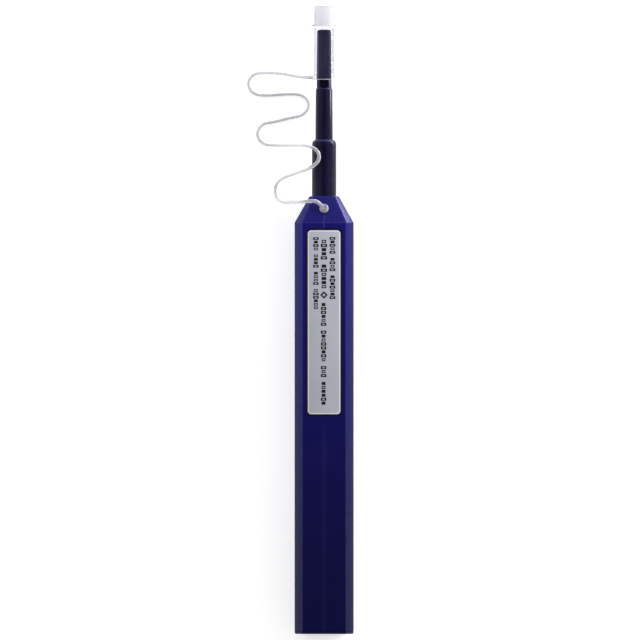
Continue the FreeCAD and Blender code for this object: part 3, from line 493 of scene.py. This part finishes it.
bpy.ops.object.select_all(action="DESELECT")
bpy.ops.mesh.primitive_cylinder_add(vertices=48, radius=1.475 * MM, depth=2.95 * MM, rotation=(-slope_turn, 0, 0),
                                    location=seat + outward * (2.95 / 2 - 0.95) * MM)
ball_seat = settle(bpy.context.object, "ball_seat")
shape_in(ball_seat, "EDGE", lambda a, b: max((a - seat).dot(outward), (b - seat).dot(outward)) < -0.9 * MM)
bpy.ops.mesh.bevel(offset=0.5 * MM, segments=4, affect="EDGES")
bpy.ops.object.mode_set(mode="OBJECT")
bpy.ops.object.select_all(action="DESELECT")
bpy.ops.mesh.primitive_cone_add(vertices=48, radius1=1.30 * MM, radius2=1.80 * MM, depth=0.50 * MM,
                                rotation=(-slope_turn, 0, 0), location=seat + outward * 0.07 * MM)
seat_rim = settle(bpy.context.object, "seat_rim")
bpy.ops.object.select_all(action="DESELECT")
bpy.ops.mesh.primitive_cylinder_add(vertices=32, radius=0.83 * MM, depth=3 * MM, rotation=(-slope_turn, 0, 0),
                                    location=seat - outward * 1.0 * MM)
stem_hole = settle(bpy.context.object, "stem_hole")
cut_away(housing, cavity, flange_bore, rail_channel, collar_bore, lead_in, label_seat,
         ball_seat, seat_rim, stem_hole)
bpy.ops.object.shade_smooth_by_angle(angle=math.radians(28))

navy = Finish("housing_plastic", IOR=1.5, Specular_IOR_Level=0.27)
pen, across, distance, height = navy.place()
satin = navy.noise(pen, 7.0, 2)
cloudy = navy.noise(pen, 0.12, 3)
# edges partly rubbed and partly painted highlight: paler and smoother along the eight long edges and the edges of
# the shoulder, their pale violet standing in for light caught on the rounded edges
side, top = abs(across), abs(height)
shrink = 1 - (distance - shoulder_start).most(0) * (2 * math.tan(slope_turn) / body_width)
corner = navy.node("ShaderNodeVectorMath", {"operation": "LENGTH"}, {0: navy.node(
    "ShaderNodeCombineXYZ", {}, {"X": side.most(top) - shrink * (body_width / 2),
                                "Y": side.least(top) - shrink * (body_width / 2 - body_chamfer)})}, 1)
scuffs = navy.noise(pen, 0.9, 4, 0.65, (1, 0.25, 1))
long_edges = 1 - corner.eased(0.04, 0.40)
shoulder_edge = 1 - abs(distance - shoulder_start).eased(0.0, 0.30)
nose_edge = 1 - abs(distance - nose_end).eased(0.0, 0.28)
rubbed_and_edge_highlight = long_edges.most(shoulder_edge * 0.8).most(nose_edge * 0.7) * (0.35 + scuffs.eased(0.35, 0.75) * 0.65)
# knit line of the plastic behind the tether hole, and a faint paler strip down the middle of the face under the
# label
knit = (1 - abs(across).eased(0.02, 0.11)) * distance.eased(122.6, 124.0) * (1 - distance.eased(126.8, 128.3))
gate_dot = (1 - navy.node("ShaderNodeVectorMath", {"operation": "DISTANCE"}, {0: pen, 1: (0, 124.2, 9.0)}, 1)
            .eased(0.12, 0.30)) * 0.8
strip = (1 - abs(across).eased(0.25, 0.85)) * (1 - distance.eased(60, 66.4)) * (height > 8)
flow = navy.noise(pen, 0.5, 3, 0.5, (1.2, 0.06, 1))
# painted light: the navy is painted darker towards the rear end and paler towards the shoulder, as the light
# falls off along the pen, with some cloudy tone mixed in
paler = (distance + cloudy * 30).eased(20, 150)
body_colour = navy.blend(paler, paint(6, 4, 58), paint(16, 13, 99))
body_colour = navy.blend(strip * (0.05 + flow * 0.12), body_colour, paint(50, 47, 98))
body_colour = navy.blend(knit * 0.30 + gate_dot * 0.35, body_colour, paint(92, 88, 150))
# painted highlight mixed with real rubbing: the edges are painted pale violet
body_colour = navy.blend(rubbed_and_edge_highlight * 0.26, body_colour, paint(104, 98, 182))
navy.feed(Base_Color=body_colour, Roughness=0.30 + satin * 0.10 + cloudy * 0.08 - rubbed_and_edge_highlight * 0.10)
navy.relief(satin * 0.8 + knit * 6, 0.006)
dress(housing, navy)
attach(housing, "housing")
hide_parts("outer_housing")


# ---- End plug ----
# Closes the rear of the housing, in the same plastic. It was moulded apart, so that it is a shade
# deeper and has its own fine turning marks from the tool on its end face.

deep_navy = Finish("plug_plastic", IOR=1.5, Specular_IOR_Level=0.27)
pen, across, distance, height = deep_navy.place()
satin = deep_navy.noise(pen, 7.0, 2)
turning = deep_navy.node("ShaderNodeTexWave", {"wave_type": "RINGS", "rings_direction": "Y"},
                         {"Vector": pen, "Scale": 2.2, "Distortion": 0.4, "Detail": 1.0})
deep_navy.feed(Base_Color=deep_navy.blend(satin * 0.4, paint(10, 8, 58), paint(16, 13, 70)),
               Roughness=0.32 + satin * 0.12)
deep_navy.relief(satin + turning * 0.25, 0.006)
dress(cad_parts["end_plug"], deep_navy)


# ---- Label ----
# Silver polyester film with rounded corners in its seat, with a black line round its edge, then a white
# line. Three lines of words are printed along it as plain letter-like blocks, with a simple mark.

label = block("label_film", (0, label_middle, 8.95), (label_width, label_length, 0.2))
shape_in(label, "EDGE", lambda a, b: abs(a.z - b.z) > 0.1 * MM)
bpy.ops.mesh.bevel(offset=label_corner * MM, segments=8, affect="EDGES")
bpy.ops.object.mode_set(mode="OBJECT")
finish_with(label, "BEVEL", width=0.05 * MM, segments=2, limit_method="ANGLE", angle_limit=math.radians(40))
bpy.ops.object.shade_smooth_by_angle(angle=math.radians(35))

silver = Finish("label_film", Specular_IOR_Level=0.4)
pen, across, distance, height = silver.place()
to_side = abs(across) - (label_width / 2 - label_corner)
to_end = abs(distance - label_middle) - (label_length / 2 - label_corner)
outside = silver.node("ShaderNodeVectorMath", {"operation": "LENGTH"}, {0: silver.node(
    "ShaderNodeCombineXYZ", {}, {"X": to_side.most(0), "Y": to_end.most(0)})}, 1)
inset = label_corner - outside - to_side.most(to_end).least(0)


def letters(middle, tall, pitch, words):
    """Letter-like blocks on one line, some of them tall and some with an open middle."""
    count = distance / pitch
    cell = silver.node("ShaderNodeMath", {"operation": "FLOOR"}, {0: count})
    chance = silver.node("ShaderNodeTexWhiteNoise", {"noise_dimensions": "1D"}, {"W": cell + middle})
    off = abs(count - cell - 0.5) * pitch
    reach = tall * (0.36 + (chance > 0.55) * 0.14)
    up = abs(across - middle)
    block = (1 - (up - reach).eased(-0.05, 0.05)) * (1 - off.eased(pitch * 0.36, pitch * 0.43))
    hollow = (chance > 0.3) * (1 - up.eased(tall * 0.16, tall * 0.22))
    hollow = hollow * (1 - off.eased(pitch * 0.10, pitch * 0.17))
    inside = None
    for first, last in words:
        word = (distance > first) * (distance < last)
        inside = word if inside is None else inside.most(word)
    return block * (1 - hollow) * inside


print_mask = letters(2.54, 1.75, 1.06, [(101.76, 109.18), (110.24, 114.48), (115.54, 120.84)])
print_mask = print_mask.most(letters(-0.06, 1.95, 1.25, [(105.0, 112.5), (113.75, 120.0)]))
print_mask = print_mask.most(letters(-0.17, 1.65, 1.20, [(69.6, 76.8), (78.0, 81.6), (82.8, 92.4),
                                                         (93.6, 100.8)]))
print_mask = print_mask.most(letters(-2.51, 1.70, 1.05, [(98.7, 105.0), (106.05, 110.25), (111.3, 115.5),
                                                         (116.55, 120.75)]))
lozenge = abs(across + 0.06) + abs(distance - 103.1)
spot = silver.node("ShaderNodeVectorMath", {"operation": "DISTANCE"}, {0: pen, 1: (-0.06, 103.1, 9.05)}, 1)
mark = (1 - lozenge.eased(1.10, 1.22)).most(1 - spot.eased(0.78, 0.88)) * spot.eased(0.34, 0.44)
print_mask = print_mask.most(mark)
grain = silver.noise(pen, 9.0, 3, 0.6)
drift = silver.noise(pen, 0.10, 2)
film = silver.blend(drift, paint(164, 168, 178), paint(177, 180, 189))
film = silver.blend(grain.eased(0.3, 0.7) * 0.14, film, paint(196, 199, 206))
white_line = inset.eased(0.44, 0.52) * (1 - inset.eased(0.72, 0.86))
film = silver.blend(white_line, film, paint(218, 218, 215))
film = silver.blend(1 - inset.eased(0.42, 0.48), film, paint(7, 6, 14))
film = silver.blend(print_mask, film, paint(14, 13, 22))
silver.feed(Base_Color=film, Roughness=0.42 + grain * 0.16)
silver.relief(grain + print_mask * 1.5, 0.004)
dress(label, silver)
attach(label, "housing")
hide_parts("label")


# ---- Rack rail ----
# A black acetal rail snapped into the housing's back wall: its rack turns the drive gear, and its
# peg runs in the rotor's cam groove.

acetal = Finish("rail_plastic", IOR=1.48)
pen, across, distance, height = acetal.place()
grease = acetal.noise(pen, 0.8, 3)
acetal.feed(Base_Color=acetal.blend(grease, paint(24, 24, 26), paint(40, 40, 43)),
            Roughness=0.28 + acetal.noise(pen, 6.0, 2) * 0.2 - grease.eased(0.55, 0.7) * 0.12)
acetal.relief(acetal.noise(pen, 7.0, 2), 0.005)
dress(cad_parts["rack_rail"], acetal)


# ---- Return spring ----
# Drawn steel wire wound in open turns, its end turns closed. It sits on the plug's boss and pushes
# the carriage forward.

def wound_spring(name, wire, width, start, end, turns, closed, per_turn):
    """A round wire wound about the pen's axis, with closed turns at both ends."""
    mean = (width - wire) / 2
    push = 1 / math.cos(math.pi / per_turn) ** 0.5
    span = end - start - wire * (1 + 2 * closed)
    corners = []
    for number in range(turns * per_turn + 1):
        turned_by = number / per_turn
        low = min(turned_by, closed) * wire
        high = max(turned_by - (turns - closed), 0) * wire
        middle = min(max(turned_by - closed, 0), turns - 2 * closed) / (turns - 2 * closed)
        place = start + wire / 2 + low + middle * span + high
        angle = 2 * math.pi * turned_by
        corners.append((mean * push * math.cos(angle), place, axis_height / MM + mean * push * math.sin(angle)))
    spring = made_round(smooth_line(name, corners, 4), name, wire, 3)
    bpy.ops.object.shade_smooth_by_angle(angle=math.radians(40))
    return spring


wire_steel = Finish("spring_steel", Metallic=1.0)
pen, across, distance, height = wire_steel.place()
drawn = wire_steel.noise(pen, 5.0, 3, 0.6, (1, 3, 1))
wire_steel.feed(Base_Color=wire_steel.blend(drawn, paint(168, 168, 172), paint(205, 205, 207)),
                Roughness=0.22 + drawn * 0.18)
wire_steel.relief(drawn, 0.004)
return_spring = wound_spring("return_coil", 0.9, 9.4, 9.02, 37.98, 9, 1, 12)
dress(return_spring, wire_steel)
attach(return_spring, "housing")
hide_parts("return_spring")
along(9.0)
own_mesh(return_spring)


# ---- Carriage: frame and cover ----
# Dark grey moulded halves that slide inside the housing and carry the reels and the gear. The
# cover is pressed on over two pins and has the springy tongue of the ratchet.

frame_grey = Finish("frame_plastic", IOR=1.5)
pen, across, distance, height = frame_grey.place()
satin = frame_grey.noise(pen, 5.0, 3)
sunk = frame_grey.noise(pen, 0.3, 2)
frame_grey.feed(Base_Color=frame_grey.blend(sunk, paint(72, 73, 77), paint(92, 93, 97)),
                Roughness=0.38 + satin * 0.16)
frame_grey.relief(satin, 0.006)
dress(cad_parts["core_frame"], frame_grey)
dress(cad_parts["frame_cover"], frame_grey)


# ---- Collar, nozzle tube and tip sleeve ----
# The sprung front end: three round mouldings in near-black navy plastic, the tip sleeve's less
# shiny. The nozzle is glued into the collar, and the sleeve has a U-shaped recess behind the cap.

def turned(name, profile, sides=96, soft=0.05):
    """A ring swept from corner to corner of a closed profile of (radius, distance) pairs."""
    radius, distance = profile[0]
    bpy.ops.object.select_all(action="DESELECT")
    bpy.ops.mesh.primitive_circle_add(vertices=sides, radius=radius * MM, rotation=(math.pi / 2, 0, 0),
                                      location=(0, along(distance), axis_height))
    piece = settle(bpy.context.object, name)
    bpy.ops.object.mode_set(mode="EDIT")
    bpy.ops.mesh.select_mode(type="EDGE")
    bpy.ops.mesh.select_all(action="SELECT")
    for next_radius, next_distance in profile[1:] + profile[:1]:
        step = (next_distance - distance) * MM
        bpy.ops.mesh.extrude_region_move(TRANSFORM_OT_translate={"value": (0, step, 0)})
        bpy.ops.transform.resize(value=(next_radius / radius, 1, next_radius / radius),
                                 center_override=(0, along(next_distance), axis_height))
        radius, distance = next_radius, next_distance
    bpy.ops.mesh.select_all(action="SELECT")
    bpy.ops.mesh.remove_doubles(threshold=0.002 * MM)
    bpy.ops.mesh.normals_make_consistent(inside=False)
    bpy.ops.object.mode_set(mode="OBJECT")
    if soft:
        finish_with(piece, "BEVEL", width=soft * MM, segments=3, limit_method="ANGLE",
                    angle_limit=math.radians(25))
    bpy.ops.object.shade_smooth_by_angle(angle=math.radians(30))
    return piece


collar = turned("collar", [
    (1.83, 112.5), (3.87, 112.5), (4.17, 113.1), (4.17, 124.0), (5.05, 124.0), (5.05, 126.4), (3.75, 126.4),
    (3.75, 148.7), (3.70, 149.2), (3.57, 149.65), (3.36, 150.02), (3.07, 150.27), (2.72, 150.4), (2.72, 138.2),
    (1.83, 138.2)], soft=0.04)
nozzle = turned("nozzle", [
    (2.05, 138.25), (2.68, 138.25), (2.68, 150.4), (2.575, 165.75), (2.375, 166.0), (2.05, 166.0)], soft=0.03)
tip = turned("tip", [
    (1.25, 152.0), (2.01, 152.0), (2.01, 166.0), (2.29, 166.0), (2.27, 168.0), (2.15, 183.35), (2.10, 183.62),
    (1.98, 183.83), (1.80, 183.95), (1.55, 184.0), (0.80, 184.0), (0.80, 181.6), (1.25, 180.6)], soft=0.03)

recess = block("recess", (0, 167.5, 2.41), (2.9, 2.7, 1.0))
shape_in(recess, "EDGE", lambda a, b: abs(a.z - b.z) > 0.5 * MM and a.y < along(167))
bpy.ops.mesh.bevel(offset=1.4 * MM, segments=8, affect="EDGES")
bpy.ops.object.mode_set(mode="OBJECT")
cut_away(tip, recess)
bpy.ops.object.shade_smooth_by_angle(angle=math.radians(30))

near_black = Finish("nozzle_plastic", IOR=1.45, Specular_IOR_Level=0.20)
pen, across, distance, height = near_black.place()
polish = near_black.noise(pen, 1.4, 4, 0.6, (1, 0.12, 1))
fine = near_black.noise(pen, 8.0, 2)
scratches = near_black.noise(pen, 3.0, 3, 0.7, (1, 0.02, 1))
# painted highlight: the front rims of the collar and the nozzle are painted pale violet where they catch the
# light
painted_rim_highlights = (1 - abs(distance - 150.2).eased(0.1, 0.5)).most(1 - abs(distance - 166.0).eased(0.05, 0.25))
dark = near_black.blend(polish.eased(0.3, 0.7), paint(12, 9, 32), paint(20, 16, 46))
dark = near_black.blend(painted_rim_highlights * 0.25, dark, paint(96, 92, 160))
near_black.feed(Base_Color=dark, Roughness=0.20 + polish * 0.10 + scratches.eased(0.6, 0.75) * 0.10 + painted_rim_highlights * 0.05)
near_black.relief(fine * 0.5 + scratches.eased(0.6, 0.75) * 0.6, 0.003)

tip_navy = Finish("tip_plastic", IOR=1.5, Specular_IOR_Level=0.15)
pen, across, distance, height = tip_navy.place()
polish = tip_navy.noise(pen, 1.4, 4, 0.6, (1, 0.12, 1))
fine = tip_navy.noise(pen, 8.0, 2)
capped = distance.eased(168.85, 168.95)
# painted highlights: pale lines along the sleeve, either side of its flat crown, where its rounded sides catch
# the light, raised a little in relief; and the speck of its gate
lines = (1 - abs(abs(across) - 1.62).eased(0.03, 0.12)) * capped
lines = lines * (1 - distance.eased(183.2, 183.5)) * (height > 0)
speck = (1 - tip_navy.node("ShaderNodeVectorMath", {"operation": "DISTANCE"}, {0: pen, 1: (0.18, 177.4, 2.2)}, 1)
         .eased(0.12, 0.28)) * (height > 0)
dark = tip_navy.blend(polish.eased(0.3, 0.7), paint(20, 20, 50), paint(30, 30, 64))
dark = tip_navy.blend(1 - capped, dark, paint(30, 26, 58))
# painted shade: the floor of the U-shaped recess is painted nearly black
dark = tip_navy.blend((height < 1.925) * (height > 1.89) * (1 - capped), dark, paint(9, 7, 22))
# the pale lines are painted highlights, and the speck is the mark of the gate
dark = tip_navy.blend(lines * 0.4 + speck * 0.5, dark, paint(96, 92, 160))
tip_navy.feed(Base_Color=dark, Roughness=0.26 + polish * 0.12)
tip_navy.relief(fine * 0.5 + lines * 3, 0.003)
for piece, finish, node in ((collar, near_black, "collar_sleeve"), (nozzle, near_black, "nozzle_tube"),
                            (tip, tip_navy, "tip_sleeve")):
    dress(piece, finish)
    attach(piece, "core")
    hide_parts(node)


# ---- Rotor ----
# A white acetal shaft, bored for the thread, whose drum has the helical cam groove. The housing's
# peg turns it half a turn in each stroke.

white_acetal = Finish("rotor_plastic", IOR=1.48)
pen, across, distance, height = white_acetal.place()
worn = white_acetal.noise(pen, 0.7, 3)
grey_line = white_acetal.noise(pen, 2.0, 4, 0.7, (1, 0.2, 1))
white_acetal.feed(Base_Color=white_acetal.blend(worn * 0.5 + grey_line.eased(0.6, 0.8) * 0.2,
                                                paint(231, 230, 225), paint(212, 211, 204)),
                  Roughness=0.26 + white_acetal.noise(pen, 6.0, 2) * 0.16 - worn.eased(0.5, 0.7) * 0.06)
white_acetal.relief(white_acetal.noise(pen, 7.0, 2), 0.005)
dress(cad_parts["rotor_shaft"], white_acetal)


# ---- Cleaning head and its spring ----
# An ivory rod slotted on both sides for the thread, which it presses on the connector's end face.
# A fine wire spring behind its flange lets it give a little.

ivory = Finish("head_plastic", IOR=1.5)
pen, across, distance, height = ivory.place()
flow = ivory.noise(pen, 0.9, 3, 0.5, (1, 0.1, 1))
ivory.feed(Base_Color=ivory.blend(flow, paint(226, 220, 202), paint(238, 233, 218)),
           Roughness=0.30 + ivory.noise(pen, 6.0, 2) * 0.15)
ivory.relief(ivory.noise(pen, 8.0, 2), 0.004)
dress(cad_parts["cleaning_head"], ivory)

head_spring = wound_spring("head_coil", 0.25, 3.15, 144.02, 149.98, 8, 1, 12)
dress(head_spring, wire_steel)
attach(head_spring, "rotor")
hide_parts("head_spring")
along(144.0)
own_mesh(head_spring)


# ---- Drive gear and reels ----
# The gear is moulded in white acetal. The reels beside it on their posts are dark grey, the take-up
# reel with saw teeth round its flange for the ratchet.

gear_white = Finish("gear_plastic", IOR=1.48)
pen, across, distance, height = gear_white.place()
grease = gear_white.noise(pen, 0.9, 3)
gear_white.feed(Base_Color=gear_white.blend(grease.eased(0.5, 0.8), paint(232, 231, 227), paint(206, 202, 188)),
                Roughness=0.32 + gear_white.noise(pen, 6.0, 2) * 0.14 - grease.eased(0.5, 0.8) * 0.16)
gear_white.relief(gear_white.noise(pen, 7.0, 2), 0.005)
dress(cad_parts["drive_gear"], gear_white)

reel_grey = Finish("reel_plastic", IOR=1.5)
pen, across, distance, height = reel_grey.place()
patch = reel_grey.noise(pen, 0.6, 2)
reel_grey.feed(Base_Color=reel_grey.blend(patch, paint(92, 96, 102), paint(108, 112, 118)),
               Roughness=0.34 + reel_grey.noise(pen, 5.0, 3) * 0.18)
reel_grey.relief(reel_grey.noise(pen, 6.0, 2), 0.006)
dress(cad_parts["takeup_reel"], reel_grey)
dress(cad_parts["supply_reel"], reel_grey)


# ---- Cleaning thread ----
# Soft white microfibre thread: the rolls on the reels, a strand to each, and the loop through the
# rotor and over the head. What has passed the head is greyed by dust.

def thread_finish(name, axis, clean, dust_and_groove_shade):
    """Twisted microfibre, wound turn by turn across the given axis. The grooves between the turns are painted in
    the darker colour as shade, along with real specks of dust.
    """
    fibre = Finish(name, Roughness=0.9, Sheen_Weight=0.35)
    pen, across, distance, height = fibre.place()
    wave = fibre.node("ShaderNodeTexWave", {"wave_type": "BANDS", "bands_direction": axis, "wave_profile": "SIN"},
                      {"Vector": pen, "Scale": 1.05, "Distortion": 0.6, "Detail": 1.0, "Detail Scale": 2.0}, 1)
    fuzz = fibre.noise(pen, 9.0, 4, 0.7)
    # painted shade: the grooves between turns take the darker colour, and so do specks of dust
    fibre.feed(Base_Color=fibre.blend((1 - wave) * 0.35 + fuzz.eased(0.55, 0.8) * 0.5, clean, dust_and_groove_shade),
               Roughness=0.82 + fuzz * 0.14)
    fibre.relief(wave * 2.5 + fuzz, 0.03)
    return fibre


wound = thread_finish("thread_wound", "X", paint(238, 237, 231), paint(206, 204, 196))
dress(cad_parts["fresh_thread"], wound)
soiled = thread_finish("thread_soiled", "X", paint(216, 213, 204), paint(168, 164, 154))
dress(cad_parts["used_thread"], soiled)
dress(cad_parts["used_strand"], soiled)
twisted = thread_finish("thread_twisted", "Y", paint(238, 237, 231), paint(208, 206, 198))
dress(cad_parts["fresh_strand"], twisted)
dress(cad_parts["thread_loop"], twisted)


# ---- Guide cap ----
# Clear polypropylene, moulded with its disc, the hidden nipple that guides a ferrule, the hinge lug
# and the stub of the tether. It grips the tip sleeve at its rim.

def join_on(piece, *parts):
    """Joins parts to a piece as one moulding."""
    for part in parts:
        finish_with(piece, "BOOLEAN", operation="UNION", object=part, solver="EXACT")
        bpy.data.objects.remove(part)


cap = turned("cap_shell", [
    (2.33, 168.7), (3.00, 168.7), (3.10, 168.8), (3.10, 184.25), (3.30, 184.25), (3.30, 184.85), (1.35, 184.85),
    (1.35, 188.3), (1.15, 188.5), (0.95, 188.5), (0.65, 188.0), (0.65, 184.25), (2.60, 184.25), (2.60, 170.3),
    (2.33, 170.0)], soft=0.05)
lug = block("cap_lug", (3.4, 184.55, 0), (1.0, 0.56, 2.4))
finish_with(lug, "BEVEL", width=0.08 * MM, segments=3, limit_method="ANGLE", angle_limit=math.radians(40))
bpy.ops.object.select_all(action="DESELECT")
bpy.ops.mesh.primitive_cone_add(vertices=32, radius1=0.78 * MM, radius2=0.50 * MM, depth=1.4 * MM,
                                location=(-3.5 * MM, along(169.4), axis_height), rotation=(0, -math.pi / 2, 0))
stub = settle(bpy.context.object, "cap_stub")
finish_with(stub, "BEVEL", width=0.12 * MM, segments=3, limit_method="ANGLE", angle_limit=math.radians(40))
join_on(cap, lug, stub)
bpy.ops.object.shade_smooth_by_angle(angle=math.radians(30))

clear = Finish("cap_plastic", IOR=1.14, Transmission_Weight=1.0)
pen, across, distance, height = clear.place()
haze = clear.noise(pen, 0.7, 3, 0.6, (1, 0.25, 1))
wall = clear.node("ShaderNodeLayerWeight", {}, {"Blend": 0.5}, "Facing")
edge_on = (wall + haze * 0.1).eased(0.32, 0.76)
clear.feed(Base_Color=clear.blend(edge_on, paint(252, 252, 254), paint(158, 159, 165)),
           Roughness=0.01 + haze.eased(0.5, 0.9) * 0.04)
clear.relief(haze, 0.004)
# the rim's cut edge is painted white as a highlight where it catches the light, and the root of the tether is
# milky
frost_and_rim_highlight = clear.tree.nodes.new("ShaderNodeBsdfPrincipled")
frost_and_rim_highlight.inputs["Base Color"].default_value = paint(246, 246, 248)
frost_and_rim_highlight.inputs["Roughness"].default_value = 0.35
rim_highlight_and_root = ((1 - distance.eased(168.78, 168.95)) * 0.75).most((across < -3.18) * 0.5)
both = clear.node("ShaderNodeMixShader", {}, {0: rim_highlight_and_root, 1: Level(clear, clear.shader.outputs[0]),
                                              2: Level(clear, frost_and_rim_highlight.outputs[0])})
clear.tree.links.new(both.socket, clear.tree.nodes["Material Output"].inputs["Surface"])
dress(cap, clear)
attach(cap, "cap")
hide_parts("guide_cap")


# ---- Flip lid and its living hinge ----
# The lid over the nipple is the same plastic, milkier, with a thumb tab on the left. A thin web on
# the right, moulded with both, is its hinge.

lid = turned("lid_shell", [
    (2.65, 184.95), (3.45, 184.95), (3.45, 185.55), (3.25, 185.55), (3.17, 190.4), (3.11, 190.75), (2.94, 191.04),
    (2.66, 191.22), (2.27, 191.3), (0.02, 191.3), (0.02, 190.7), (2.65, 190.7)], soft=0.04)
tab = block("thumb_tab", (-4.0, 185.18, 0), (2.7, 0.45, 3.0))
shape_in(tab, "FACE", lambda centre, normal: normal.x < -0.9)
bpy.ops.transform.resize(value=(1, 0.6, 0.3), center_override=(0, along(185.05), axis_height))
bpy.ops.object.mode_set(mode="OBJECT")
finish_with(tab, "BEVEL", width=0.12 * MM, segments=3, limit_method="ANGLE", angle_limit=math.radians(40))
lug = block("lid_lug", (3.4, 185.25, 0), (1.0, 0.58, 2.4))
finish_with(lug, "BEVEL", width=0.08 * MM, segments=3, limit_method="ANGLE", angle_limit=math.radians(40))
join_on(lid, tab, lug)
bpy.ops.object.shade_smooth_by_angle(angle=math.radians(30))

milky_clear = Finish("lid_plastic", IOR=1.18, Transmission_Weight=0.72)
pen, across, distance, height = milky_clear.place()
streak = milky_clear.noise(pen, 0.9, 3, 0.6, (1, 0.12, 1))
wall = milky_clear.node("ShaderNodeLayerWeight", {}, {"Blend": 0.5}, "Facing")
milk = milky_clear.blend(streak.eased(0.35, 0.7), paint(244, 244, 249), paint(250, 250, 252))
milky_clear.feed(Base_Color=milky_clear.blend(wall.eased(0.45, 0.85), milk, paint(196, 196, 203)),
                 Roughness=0.12 + streak * 0.22)
milky_clear.relief(streak, 0.02)
dress(lid, milky_clear)
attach(lid, "lid")
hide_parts("cap_lid")

web_middle, web_half = along(184.9), 0.45 * MM
bpy.ops.object.select_all(action="DESELECT")
bpy.ops.mesh.primitive_grid_add(x_subdivisions=8, y_subdivisions=12, size=1 * MM, rotation=(0, math.pi / 2, 0),
                                location=(3.98 * MM, web_middle, axis_height))
web = settle(bpy.context.object, "hinge_web")
bpy.ops.object.mode_set(mode="EDIT")
bpy.ops.mesh.select_all(action="SELECT")
bpy.ops.transform.resize(value=(1, 0.9, 2.0), center_override=(0, web_middle, axis_height))
bpy.ops.object.mode_set(mode="OBJECT")
for corner in web.data.vertices:
    corner.co.x += 0.16 * MM * (1 - ((corner.co.y - web_middle) / web_half) ** 2)
finish_with(web, "SOLIDIFY", thickness=0.14 * MM, offset=0)
bpy.ops.object.shade_smooth_by_angle(angle=math.radians(50))
dress(web, milky_clear)
along(184.75)
along(185.05)
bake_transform(web)
